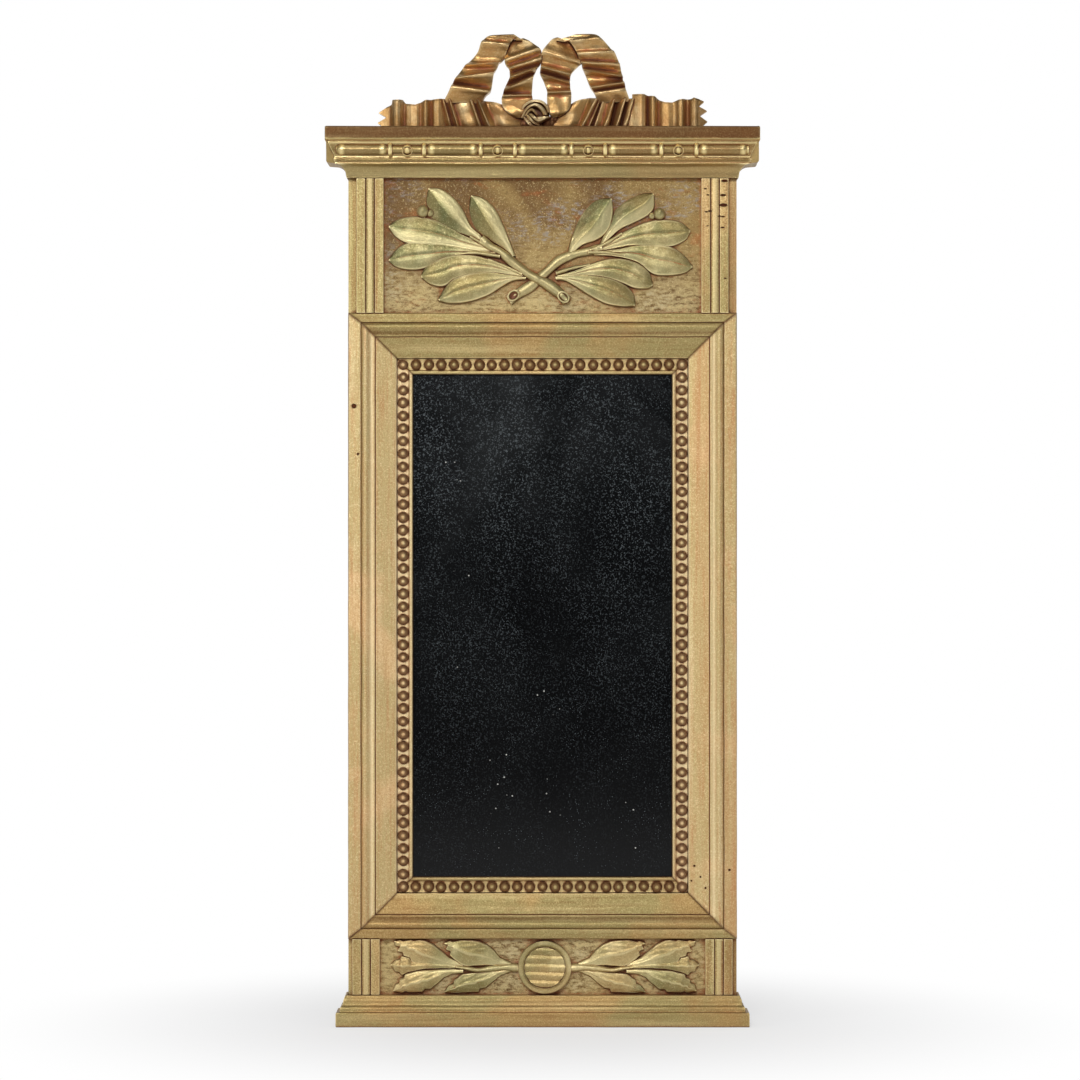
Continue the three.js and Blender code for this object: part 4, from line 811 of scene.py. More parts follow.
# ---------------------------------------------------------------------------- mesh making
@dataclass
class Draft:
    """A mesh in the making: closed shells of points and faces, with a mark of rubbing and painted
    light per point.

    Above 0 it turns brown, partly from rubbing, partly as painted shade; below 0 it is clean gold
    and painted highlight. It is given as one mark or as one for each point.
    """

    points: list[np.ndarray] = field(default_factory=list)
    faces: list[tuple[int, ...]] = field(default_factory=list)
    wear_and_light: list[np.ndarray] = field(default_factory=list)
    count: int = 0

    def shell(self, points: np.ndarray, faces: Sequence[tuple[int, ...]], wear_and_light: Marks) -> None:
        """Adds points and the faces between them, by numbers of the shell's own points.

        Args:
            points: Its points, one row each.
            faces: Its faces.
            wear_and_light: The mark of rubbing and painted light.
        """
        start = self.count
        self.points.append(points)
        self.wear_and_light.append(np.broadcast_to(np.asarray(wear_and_light, float), len(points)))
        self.faces.extend(tuple(start + i for i in face) for face in faces)
        self.count += len(points)

    def loft(self, rings: np.ndarray, wear_and_light: Marks = 0.0, closed: bool = False) -> None:
        """Joins closed rings of points into a tube.

        Args:
            rings: The points, as rings x points x 3.
            wear_and_light: The mark of rubbing and painted light.
            closed: Whether the last ring meets the first, where otherwise both ends get a face.
        """
        rows, across, _ = rings.shape
        index = np.arange(rows * across).reshape(rows, across)
        a, b = (index, np.roll(index, -1, 0)) if closed else (index[:-1], index[1:])
        quads = np.stack([a, b, np.roll(b, -1, 1), np.roll(a, -1, 1)], axis=-1)
        faces = [] if closed else [tuple(index[0].tolist()), tuple(index[-1, ::-1].tolist())]
        faces += [tuple(quad) for quad in quads.reshape(-1, 4).tolist()]
        self.shell(rings.reshape(-1, 3), faces, wear_and_light)

    def relief(self, front: np.ndarray, back_depth: float, wear_and_light: Marks = 0.0) -> None:
        """Closes a carved front with a straight rim down to a flat back.

        Args:
            front: The carved side, as rows x columns x 3.
            back_depth: The depth of the flat back.
            wear_and_light: The mark of rubbing and painted light of the front.
        """
        rows, columns, _ = front.shape
        index = np.arange(rows * columns).reshape(rows, columns)
        loop = [index[0, :-1], index[:-1, -1], index[-1, :0:-1], index[:0:-1, 0]]
        rim = np.concatenate(loop)
        points = front.reshape(-1, 3)
        foot = points[rim].copy()
        foot[:, 1] = -back_depth
        corners = [index[:-1, :-1], index[1:, :-1], index[1:, 1:], index[:-1, 1:]]
        quads = [np.stack(corners, axis=-1).reshape(-1, 4)]
        middle = len(points) + np.arange(len(rim))
        base = middle + len(rim)
        for upper, lower in ((rim, middle), (middle, base)):
            quads.append(np.stack([upper, np.roll(upper, -1), np.roll(lower, -1), lower], axis=-1))
        faces = [tuple(quad) for quad in np.vstack(quads).tolist()] + [tuple(base.tolist())]
        marks = np.broadcast_to(np.ravel(wear_and_light), len(points))
        points = np.vstack([points, (points[rim] + foot) / 2, foot])
        self.shell(points, faces, np.concatenate([marks, np.zeros(2 * len(rim))]))

    def turned(
        self, profile: Outline, centre: Point, segments: int, along: Point = (0, -1, 0),
        across: Point = (1, 0, 0), wear_and_light: Marks = 0.0, squash: float = 1.0,
    ) -> None:
        """Turns a profile about an axis.

        Args:
            profile: Pairs of radius and distance along the axis, from one end to the other.
            centre: Where the axis starts.
            segments: Points round the axis.
            along: The way of the axis.
            across: A way square to the axis, from which the turn starts.
            wear_and_light: The mark of rubbing and painted light, one or one for each ring.
            squash: Width of the turned form across its second way, as a share.
        """
        axis, first = np.array(along, float), np.array(across, float)
        second = np.cross(axis, first) * squash
        angles = np.linspace(0, 2 * math.pi, segments, endpoint=False)
        spokes = np.outer(np.cos(angles), first) + np.outer(np.sin(angles), second)
        rings = [np.array(centre) + axis * run + spokes * max(r, 1e-5) for r, run in profile]
        marks = np.repeat(wear_and_light, segments) if np.ndim(wear_and_light) else wear_and_light
        self.loft(np.array(rings), marks)

    def waver(self, amount: float, seed: int, length: float = 0.06) -> None:
        """Moves all points a little in slow waves, as hand work and old wood do."""
        self.points = [shell + waves(shell, amount, seed, length) for shell in self.points]

    def piece(
        self, name: str, finish: Finish, node: str, body: str = "root", crisp: float = 42.0,
        hollow_gain: float = 3.0,
    ) -> None:
        """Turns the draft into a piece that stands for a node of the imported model.

        Args:
            name: The piece's name.
            finish: Its finish.
            node: The node that it stands for.
            body: The body that it rides on.
            crisp: The angle in degrees above which an edge stays sharp.
            hollow_gain: How strongly creases are marked.
        """
        mesh = bpy.data.meshes.new(name)
        mesh.from_pydata(np.vstack(self.points).tolist(), [], self.faces)
        builder = bmesh.new()
        builder.from_mesh(mesh)
        bmesh.ops.recalc_face_normals(builder, faces=builder.faces)
        builder.to_mesh(mesh)
        builder.free()
        mesh.shade_smooth()
        mesh.set_sharp_from_angle(angle=math.radians(crisp))
        # Hollows feed the bole and painted shade of the gilding, and edges its painted highlights.
        value = creases(mesh) * hollow_gain
        marks = {"hollow": np.clip(value, 0, 1), "edge": np.clip(-value, 0, 1)}
        marks["wear_and_light"] = np.concatenate(self.wear_and_light)
        for key, values in marks.items():
            attribute = mesh.attributes.new(key, "FLOAT", "POINT")
            attribute.data.foreach_set("value", values.astype(np.float32))
        made = bpy.data.objects.new(name, mesh)
        bpy.context.scene.collection.objects.link(made)
        mesh.materials.append(finish.material())
        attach(made, body)
        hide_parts(node)
        log.info("%s: %d points", name, self.count)


def creases(mesh: bpy.types.Mesh) -> np.ndarray:
    """Measures how each point lies between its neighbours.

    Args:
        mesh: The mesh.

    Returns:
        One value per point, above 0 in a hollow and below 0 on an edge.
    """
    count = len(mesh.vertices)
    where, normal = np.zeros(count * 3), np.zeros(count * 3)
    mesh.vertices.foreach_get("co", where)
    mesh.vertices.foreach_get("normal", normal)
    ends = np.zeros(len(mesh.edges) * 2, int)
    mesh.edges.foreach_get("vertices", ends)
    where, normal = where.reshape(-1, 3), normal.reshape(-1, 3)
    a, b = ends.reshape(-1, 2).T

    def gathered(at_a: np.ndarray | None, at_b: np.ndarray | None) -> np.ndarray:
        """Sums values at both ends of the edges, point by point."""
        return np.bincount(a, at_a, count) + np.bincount(b, at_b, count)

    step = where[b] - where[a]
    step /= np.maximum(np.linalg.norm(step, axis=1), 1e-9)[:, None]
    degree = np.maximum(gathered(None, None), 1)
    value = gathered((normal[a] * step).sum(1), -(normal[b] * step).sum(1)) / degree
    for _ in range(2):
        value = 0.5 * value + 0.5 * gathered(value[b], value[a]) / degree
    return value


def dress(node: str, finish: Finish) -> None:
    """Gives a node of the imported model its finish.

    Args:
        node: The node's name.
        finish: Its finish.
    """
    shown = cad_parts[node]
    shown.data.materials.clear()
    shown.data.materials.append(finish.material())
    log.info("%s: dressed", node)


def run_piece(
    name: str, node: str, finish: Finish, rings: np.ndarray, marks: np.ndarray,
    wave: tuple[float, int, float],
) -> None:
    """Turns the rings of a swept piece, with their marks and waves, into a piece.

    Args:
        name: The piece's name.
        node: The node that it stands for.
        finish: Its finish.
        rings: Its rings.
        marks: The mark of rubbing and painted light.
        wave: Amount, seed and length of the slow waves in it.
    """
    draft = Draft()
    draft.loft(rings, marks)
    draft.waver(*wave)
    draft.piece(name, finish, node)


# ---------------------------------------------------------------------------- places from the frame
@dataclass(frozen=True)
class Places:
    """The planes and edges that the carving is laid out from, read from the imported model."""

    sight_half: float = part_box("beaded_slip_right")[0].x
    sight_bottom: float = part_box("beaded_slip_bottom")[1].z
    sight_top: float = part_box("beaded_slip_top")[0].z
    body_half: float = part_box("stile_right")[1].x
    cornice_bottom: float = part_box("cornice_front")[0].z
    cornice_top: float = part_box("cornice_front")[1].z
    plinth_bottom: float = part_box("plinth_front")[0].z
    plinth_top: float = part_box("plinth_front")[1].z
    front_plane: float = -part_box("frieze_pilaster_left")[1].y
    pilaster_front: float = -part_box("frieze_pilaster_left")[0].y


PLACES = Places()


class Side(Enum):
    """Left and right, as signs of X."""

    LEFT = -1
    RIGHT = 1

    @property
    def word(self) -> str:
        """The side's name as the nodes have it."""
        return self.name.lower()


# ---------------------------------------------------------------------------- mirror frame
@dataclass(frozen=True)
class Member:
    """One of the four members round the glass, with the edge of the glass opening along it."""

    name: str
    band: float
    edge: float
    outward: int
    length: float
    middle: float
    other_bands: Pair

    @property
    def upright(self) -> bool:
        """Whether the member stands."""
        return self.name in ("left", "right")

    @property
    def finish(self) -> Gilding:
        """The gilding, brushed along the member, lighter on upright members, partly as painted
        light.
        """
        return GILT_UPRIGHT if self.upright else GILT_LEVEL

    def place(self, a: np.ndarray, depth: np.ndarray, along: np.ndarray) -> np.ndarray:
        """Puts points into space by their distance from the opening, depth and place along."""
        across = self.edge + self.outward * a
        return stack(across, depth, along) if self.upright else stack(along, depth, across)


@dataclass
class MirrorFrame:
    """The mitred moulding round the glass, with a slip of beads inside it."""

    slip: float = 16 * MM
    flat: float = 21.5 * MM
    ogee: float = 14.5 * MM
    side_band: float = 13 * MM
    top_band: float = 9.5 * MM
    bottom_band: float = 10 * MM
    band_rise: float = 8 * MM
    ogee_rise: float = 12 * MM
    slip_ground: float = 3 * MM
    slip_lip: float = 5 * MM
    slip_fillet: float = 3.9 * MM
    bead_radius: float = 5.35 * MM
    bead_pitch: float = 12.6 * MM
    bead_segments: int = 24
    bead_wear: float = 0.86
    bead_highlight: float = 1.3

    @property
    def inner(self) -> float:
        """Width from the glass opening to the outer band."""
        return self.slip + self.flat + self.ogee

    def members(self) -> list[Member]:
        """Lists the four members.

        Returns:
            The top, bottom, left and right member.
        """
        p = PLACES
        middle, height = (p.sight_top + p.sight_bottom) / 2, p.sight_top - p.sight_bottom
        level = (2 * p.sight_half, 0.0, (self.side_band, self.side_band))
        upright = (height, middle, (self.bottom_band, self.top_band))
        return [
            Member("top", self.top_band, p.sight_top, 1, *level),
            Member("bottom", self.bottom_band, p.sight_bottom, -1, *level),
            Member("left", self.side_band, -p.sight_half, -1, *upright),
            Member("right", self.side_band, p.sight_half, 1, *upright),
        ]

    def mitre(self, member: Member, end: int) -> Callable[[np.ndarray], np.ndarray]:
        """Gives where a member ends, for points at a distance a from the opening.

        Args:
            member: The member.
            end: Which end: -1 or 1.

        Returns:
            A function of that distance.
        """
        other = member.other_bands[0 if end < 0 else 1]

        def reach(a: np.ndarray) -> np.ndarray:
            """Gives the end along the member."""
            bent = np.where(a <= self.inner, a, self.inner + (a - self.inner) * other / member.band)
            return member.middle + end * (member.length / 2 + bent - GAP / 2)

        return reach

    def moulding_section(self, band: float) -> np.ndarray:
        """Draws the moulding's section for a member with this outer band.

        Args:
            band: Width of the outer band.

        Returns:
            The section as distance from the opening and depth.
        """
        base, inner, edge = PLACES.front_plane, self.inner, self.inner + band
        face, crest, flat = base + self.band_rise, base + self.ogee_rise, self.slip + self.flat
        corners = [(self.slip + GAP, base), (edge, base), *near((edge, face), (0, -1), (-1, 0))]
        corners += near((inner, face), (0.3, 0), (0.1, -0.9), (-0.2, -0.9))
        wave = [(-0.6, -2.6), (-1.6, -1.2), (-3, -0.3), (-4.6, 0), (-6.2, -0.4), (-8, -1.7)]
        wave += [(-9.4, -2.7), (-10.6, -3.1), (-11.6, -2.7), (-12.6, -2.3), (-13.8, -2.5)]
        corners += near((inner, crest), *wave)
        corners += near((flat, face), (0.2, -0.2), (-0.1, -0.2), (-0.4, 0.3))
        corners += [*near((self.slip, face), (1.2, -2.4)), (self.slip + GAP, face - 3.2 * MM)]
        return refined(rounded(corners, 0.35 * MM, 2), 1.2 * MM)

    def moulding_marks(self, section: np.ndarray, member: Member) -> np.ndarray:
        """Paints the hollow of the ogee, a painted highlight on upright members and painted shade
        on level ones, and a painted highlight along the edge at the beads.

        Args:
            section: The moulding's section.
            member: The member.

        Returns:
            A mark for each point of the section.
        """
        a = section[:, 0]
        # Painted light in the ogee's hollow, painted shade on level members, and a painted
        # highlight by the beads.
        hollow = bell(a, self.inner - 10.6 * MM, 2.2 * MM) * (-0.7 if member.upright else 0.3)
        return np.where(a < self.slip + 1.5 * MM, -0.8, hollow)

    def slip_section(self) -> np.ndarray:
        """Draws the slip's section, without its beads.

        Returns:
            The section as distance from the opening and depth.
        """
        base = PLACES.front_plane
        lip, ground = base + self.slip_lip, base + self.slip_ground
        corners = [(0, base), (self.slip - GAP, base), (self.slip - GAP, ground + 0.5 * MM)]
        corners += [(self.slip - 1 * MM, ground), (4.6 * MM, ground)]
        corners += near((0, lip), (3.7, -0.3), (1.2, 0), (0, -2))
        return refined(rounded(corners, 0.7 * MM, 2), 0.9 * MM)

    def slip_marks(self, section: np.ndarray) -> np.ndarray:
        """Marks the dark edge at the glass, and lights up the fillet and the ground of the beads,
        with clean gold and painted light.

        Args:
            section: The slip's section.

        Returns:
            A mark for each point of the section.
        """
        a, depth = section.T
        exposed = depth > PLACES.front_plane + self.slip_ground - 0.3 * MM
        # Painted light on the exposed faces, most on the ground between the beads.
        highlight_and_clean = np.where(a < 4.2 * MM, -0.1, -0.6) * exposed
        return np.where(a < 0.5 * MM, 0.9, highlight_and_clean)

    def add_beads(self, draft: Draft, member: Member, seed: int) -> None:
        """Sets a row of slightly uneven beads on a slip.

        Args:
            draft: The slip that gets them.
            member: The member that they run along.
            seed: Number of the random series.
        """
        rng = np.random.default_rng(seed)
        row = (self.slip + self.slip_fillet) / 2
        first, last = (self.mitre(member, end)(row) + end * GAP / 2 for end in (-1, 1))
        count = round((last - first) / self.bead_pitch)
        ground = PLACES.front_plane + self.slip_ground
        angles = np.linspace(0, math.pi / 2, 9)
        # Each bead is brown from rubbing, with its foot painted darker as shade and a small painted
        # highlight at its top.
        wear_and_light = self.bead_wear - self.bead_highlight * np.sin(angles[1:]) ** 32
        # The corner beads belong to the upright slips.
        for i in range(count + 1) if member.upright else range(1, count):
            along = first + (last - first) * i / count
            size = self.bead_radius * rng.uniform(0.94, 1.04)
            shift = rng.normal(0, 0.16 * MM, 2)
            centre = member.place(row + shift[0], ground, along + shift[1])
            rise = self.bead_radius * rng.uniform(0.95, 1.05)
            profile = [(size * 0.98, -0.8 * MM)]
            profile += [(size * math.cos(t) ** 0.8, rise * math.sin(t)) for t in angles]
            squash = rng.uniform(0.95, 1.05)
            draft.turned(
                profile, tuple(centre), self.bead_segments, wear_and_light=[1.0, 1.0, *wear_and_light], squash=squash
            )

    def build(self) -> None:
        """Builds the mouldings and the slips."""
        for seed, member in enumerate(self.members()):
            ends = (self.mitre(member, -1), self.mitre(member, 1))
            section = self.moulding_section(member.band)
            rings = swept(section, *ends, member.place)
            marks = seamed(rings, self.moulding_marks(section, member))
            name, node = f"moulding_{member.name}", f"frame_moulding_{member.name}"
            run_piece(name, node, member.finish, rings, marks, (0.16 * MM, 40 + seed, 0.06))
            slip = Draft()
            section = self.slip_section()
            rings = swept(section, *ends, member.place)
            slip.loft(rings, seamed(rings, self.slip_marks(section)))
            self.add_beads(slip, member, 60 + seed)
            slip.waver(0.08 * MM, 50 + seed)
            slip.piece(f"slip_{member.name}", member.finish, f"beaded_slip_{member.name}")


# ---------------------------------------------------------------------------- pilasters
@dataclass
class Pilasters:
    """The four flat pilasters with a raised ridge between two grooves."""

    ridge: float = 8.4 * MM
    groove: float = 0.8 * MM
    groove_depth: float = 1.1 * MM

    def section(self, width: float, base: float, front: float) -> np.ndarray:
        """Draws the section of a pilaster of this width.

        Args:
            width: Its width.
            base: Depth of its back.
            front: Depth of its front.

        Returns:
            The section as distance from its left edge and depth.
        """
        flat = (width - self.ridge) / 2 - self.groove
        floor = front - self.groove_depth
        left = [(0, front), (flat, front), (flat + 0.2 * MM, floor), (flat + self.groove, floor)]
        right = [(width - a, d) for a, d in reversed(left)]
        half, foot = self.ridge / 2 - 0.2 * MM, floor + 0.3 * MM
        turn = arc((0, 0), 1, math.pi, 0, 9)
        ridge = [(width / 2 + half * a, foot + 1.2 * MM * d) for a, d in turn]
        corners = [(0, base), *left, *ridge, *right, (width, base)]
        return refined(rounded(corners, 0.3 * MM, 2), 1.2 * MM)

    def build(self) -> None:
        """Builds the four pilasters."""
        names = [f"{stage}_pilaster_{side.word}" for stage in ("frieze", "base") for side in Side]
        for seed, name in enumerate(names):
            low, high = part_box(name)
            section = self.section(high.x - low.x, -high.y, -low.y)
            ends = (lambda a: np.full_like(a, low.z), lambda a: np.full_like(a, high.z))
            rings = swept(section, *ends, lambda a, d, s: stack(low.x + a, d, s))
            # The middle of the ridge gets a painted highlight.
            away = np.abs(section[:, 0] - (high.x - low.x) / 2)
            marks = np.tile(np.where(away < 0.3 * self.ridge, -0.45, 0.0), len(rings))
            wave = (0.14 * MM, 70 + seed, 0.06)
            run_piece(f"fluted_{name}", name, GILT_PILASTER, rings, marks, wave)


# ---------------------------------------------------------------------------- cornice and plinth
def across_front(section: np.ndarray) -> np.ndarray:
    """Runs a section, drawn as projection and height, along the front from mitre to mitre.

    Args:
        section: Its points, one row each.

    Returns:
        The rings.
    """
    p = PLACES
    return swept(
        section, lambda a: -(p.body_half + a - GAP / 2), lambda a: p.body_half + a - GAP / 2,
        lambda a, h, s: stack(s, p.pilaster_front + a, h),
    )


def along_side(section: np.ndarray, side: Side) -> np.ndarray:
    """Runs a section, drawn as projection and height, from the wall to the mitre at the front.

    Args:
        section: Its points, one row each.
        side: The side.

    Returns:
        The rings.
    """
    p = PLACES
    return swept(
        section, np.zeros_like, lambda a: p.pilaster_front + a - GAP / 2,
        lambda a, h, s: stack(side.value * (p.body_half + a), s, h),
    )


@dataclass
class Cornice:
    """The cornice with its bead and reel, mitred to plainer returns at the sides."""

    projection: float = 22 * MM
    fascia: float = 13.5 * MM
    step: float = 3 * MM
    strip: float = 13 * MM
    strip_run: float = 6.5 * MM
    strip_seat: float = 5.75 * MM
    cove_radius: float = 11 * MM
    cove_run: float = 13 * MM
    cove_foot: float = 2.5 * MM
    cove_height: float = 14 * MM
    barrel: float = 51 * MM
    barrel_radius: float = 5.6 * MM
    reel_offset: float = 2.2 * MM
    reel_half: float = 1.9 * MM
    pearl_radius: float = 4.5 * MM
    period: float = 90 * MM
    segments: int = 28

    @property
    def fascia_bottom(self) -> float:
        """Height of the fascia's lower edge."""
        return PLACES.cornice_top - self.fascia

    @property
    def strip_middle(self) -> float:
        """Height of the middle of the sloping strip."""
        return self.fascia_bottom - self.step - self.strip / 2

    def foot(self, back: float) -> list[Pair]:
        """Draws the quarter hollow under the cornice and its lower edge, up to this back.

        Args:
            back: Where the lower edge ends.

        Returns:
            The corners, from the front to the back.
        """
        bottom = PLACES.cornice_bottom
        centre = (self.cove_run, bottom - GAP + self.cove_foot)
        hollow = arc(centre, self.cove_radius, math.pi / 2, math.pi, 10)
        return [*hollow, *near((0, bottom), (1.6, 1), (1.6, 0)), (back, bottom)]

    def front_section(self) -> np.ndarray:
        """Draws the front's section as projection and height.

        Returns:
            The points, one row each.
        """
        p, top = self.projection, PLACES.cornice_top
        back = PLACES.front_plane - PLACES.pilaster_front
        strip_top = self.fascia_bottom - self.step
        cove_top = PLACES.cornice_bottom - GAP + self.cove_height
        corners = [(back, top), *near((p, top), (-1, 0), (0, -1))]
        corners += near((p, self.fascia_bottom), (0, 0.6), (-0.8, 0), (-2.8, -0.4))
        corners += near((p, strip_top), (-2.8, 0))
        corners += near((p, strip_top - self.strip), (-9, 0), (-8.8, -1.6), (-8, -2))
        corners += near((p, cove_top), (-8.2, 1.2), (-9.4, 0.6))
        return refined(rounded([*corners, *self.foot(back)], 0.8 * MM, 3), 1.2 * MM)

    def side_section(self) -> np.ndarray:
        """Draws the returns' section as projection and height.

        Returns:
            The points, one row each.
        """
        p, top = self.projection, PLACES.cornice_top
        corners = [(GAP, top), *near((p, top), (-1, 0), (0, -1))]
        corners += near((p, self.fascia_bottom), (0, -1), (-1.2, -1.6))
        cove_top = PLACES.cornice_bottom - GAP + self.cove_height
        corners += near((p, cove_top), (-1.2, 1), (-2.4, 0))
        return refined(rounded([*corners, *self.foot(GAP)], 0.8 * MM, 3), 1.2 * MM)

    def front_marks(self, section: np.ndarray) -> np.ndarray:
        """Marks painted highlights along the steps, a darker brown fascia and painted light on the
        cove.

        Args:
            section: The front's section.

        Returns:
            A mark for each point of the section.
        """
        h, edge, bottom = section[:, 1], self.fascia_bottom, PLACES.cornice_bottom
        # Painted highlights along the steps, a darker fascia above them and painted light on the
        # cove below.
        lines = (edge, edge - self.step, edge - self.strip - 3.4 * MM, bottom + 13 * MM)
        marks = sum(-bell(h, line, 0.7 * MM) for line in lines)
        marks += np.where(h > edge + 1.5 * MM, 0.62, 0.0)
        return marks + np.where(h < bottom + 12 * MM, -0.22, 0.0)

    def add_bead_and_reel(self) -> None:
        """Carves the barrels, reels and pearls, half sunk in the sloping strip."""
        low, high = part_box("bead_and_reel")
        rng = np.random.default_rng(81)
        depth = PLACES.pilaster_front + self.projection - self.strip_seat - GAP
        draft = Draft()

        def turned(profile: Outline, x: float, wear_and_light: Marks = 0.0) -> None:
            """Turns a profile about the middle of the strip."""
            centre = (x, -depth, self.strip_middle)
            draft.turned(profile, centre, self.segments, (1, 0, 0), (0, 0, 1), wear_and_light)

        reach = (high.x - low.x) / 2
        places = int((2 * reach - self.barrel + 2 * MM) / self.period)
        r, width = self.barrel_radius, self.reel_half
        core = 0.74 * r
        bar = [(core, x) for x in np.linspace(-reach, reach, 60)]
        turned([(0, -reach), (core, -reach), *bar, (0, reach)], 0)
        nose = [
            (r * math.sin(t) ** 0.7, 5 * MM * (1 - math.cos(t)))
            for t in np.linspace(0.3, math.pi / 2, 7)
        ]
        nose += [(r, 6.5 * MM), (r, 9 * MM)]
        # Painted highlights near the ends of each barrel, on the reels, the pearls and their rings;
        # the rest of each barrel is a little duller.
        highlight_dabs = [0.1, 0.1, 0.1, 0.1, 0.1, -0.5, -0.9, -0.7, 0.1]
        half_rim = [(r * 1.04, -width), (r * 1.2, -0.4 * width)]
        rim = half_rim + [(a, -b) for a, b in reversed(half_rim)]
        for i in range(places + 1):
            middle = (i - places / 2) * self.period + rng.normal(0, 0.5 * MM)
            half = self.barrel / 2 + rng.normal(0, 0.4 * MM)
            barrel = [(a, -half + b) for a, b in nose] + [(a, half - b) for a, b in reversed(nose)]
            turned([(0, -half), *barrel, (0, half)], middle, [0, *highlight_dabs, *reversed(highlight_dabs), 0])
            for way in (-1, 1):
                disc = middle + way * (half + self.reel_offset)
                if abs(disc) < reach:
                    turned([(0, -width), *rim, (0, width)], disc, [-1.0] * 6)
            if i < places:
                q = self.pearl_radius * rng.uniform(0.96, 1.04)
                pearl = middle + self.period / 2
                turned(arc((0, 0), q, -math.pi / 2, math.pi / 2, 13), pearl, -0.6)
                self.add_ring(draft, (pearl, -depth, self.strip_middle))
        draft.waver(0.12 * MM, 82)
        draft.piece("turned_bead_and_reel", GILT_CORNICE, "bead_and_reel")

    def add_ring(self, draft: Draft, centre: Point) -> None:
        """Lays the raised ring round a pearl, which leans with the strip.

        Args:
            draft: The bead and reel.
            centre: Middle of the pearl.
        """
        lean = math.atan2(self.strip_run, self.strip)
        outward = (0, -math.cos(lean), -math.sin(lean))
        shares = [(1.02, 0), (1.02, 0.86), (1.07, 0.96), (1.15, 0.94), (1.2, 0.8), (1.2, 0)]
        profile = [(a * self.pearl_radius, b * self.pearl_radius) for a, b in shares]
        # The ring carries a painted highlight.
        draft.turned(profile, centre, 24, outward, wear_and_light=-0.8)

    def build(self) -> None:
        """Builds the cornice."""
        section = self.front_section()
        rings = across_front(section)
        marks = np.tile(self.front_marks(section), len(rings))
        wave = (0.2 * MM, 83, 0.09)
        run_piece("carved_cornice_front", "cornice_front", GILT_CORNICE, rings, marks, wave)
        for side in Side:
            node = f"cornice_return_{side.word}"
            rings = along_side(self.side_section(), side)
            run_piece(f"carved_{node}", node, GILT_INWARD, rings, 0.0, (0.2 * MM, 84, 0.09))
        self.add_bead_and_reel()
        dress("cornice_top_board", GILT_LEVEL)


@dataclass
class Plinth:
    """The moulded plinth, mitred to its returns."""

    projection: float = 12 * MM
    fascia: float = 14.5 * MM

    def section(self, back: float) -> np.ndarray:
        """Draws the section as projection and height, from this back.

        Args:
            back: Where the section ends at the back.

        Returns:
            The points, one row each.
        """
        p, low, top = self.projection, PLACES.plinth_bottom, PLACES.plinth_top
        curve = [(0, -0.8), (-0.8, 0), (-3.6, 0.1), (-4, 1), (-4, 3.6), (-4.8, 5.4)]
        curve += [(-6.2, 6.2), (-7.2, 8), (-7.4, 12)]
        corners = [(back, low), *near((p, low), (-0.6, 0), (0, 0.8))]
        corners += near((p, low + self.fascia), *curve)
        corners += [*near((p, top), (-9, -1.4), (-9, 0)), (back, top)]
        return refined(rounded(corners, 1 * MM, 3), 1.2 * MM)

    def build(self) -> None:
        """Builds the plinth."""
        rings = across_front(self.section(PLACES.front_plane - PLACES.pilaster_front))
        wave = (0.2 * MM, 91, 0.08)
        run_piece("moulded_plinth_front", "plinth_front", GILT_LEVEL, rings, 0.0, wave)
        for side in Side:
            node = f"plinth_return_{side.word}"
            rings = along_side(self.section(GAP), side)
            run_piece(f"moulded_{node}", node, GILT_INWARD, rings, 0.0, (0.2 * MM, 92, 0.08))


# ---------------------------------------------------------------------------- grounds and carcass
@dataclass
class Grounds:
    """The two recessed panels, whose gesso is a little uneven."""

    spacing: float = 2.5 * MM
    unevenness: float = 0.35 * MM
    wave: float = 30 * MM

    def build(self) -> None:
        """Builds both grounds."""
        for seed, name in enumerate(("frieze_panel", "base_panel")):
            low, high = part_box(name)
            across = np.linspace(low.x, high.x, int((high.x - low.x) / self.spacing))
            up = np.linspace(low.z, high.z, int((high.z - low.z) / self.spacing))
            x, z = np.meshgrid(across, up)
            flat = stack(x, -low.y, z)
            move = waves(flat.reshape(-1, 3), self.unevenness, 101 + seed, self.wave)
            flat[..., 1] += np.abs(move[:, 1]).reshape(x.shape)
            draft = Draft()
            draft.relief(flat, -high.y)
            draft.piece(f"gesso_{name}", GROUND, name)


@dataclass
class Carcass:
    """The joined pine carcass and what is held in it from behind."""

    rails: tuple[str, ...] = ("top", "frieze", "lower", "bottom")
    glazing: tuple[str, ...] = ("lower_left", "lower_right", "upper_left", "upper_right")
    glue: tuple[str, ...] = ("left", "middle", "right")

    def build(self) -> None:
        """Dresses the carcass."""
        for side in Side:
            dress(f"backboard_{side.word}", PINE_UPRIGHT)
            dress(f"stile_{side.word}", GILT_PILASTER)
        for name in self.rails:
            dress(f"{name}_rail", PINE_LEVEL)
        for name in self.glazing:
            dress(f"glazing_block_{name}", PINE_LEVEL)
        for name in self.glue:
            dress(f"crest_glue_block_{name}", PINE_LEVEL)
        dress("mirror_glass", MIRROR)


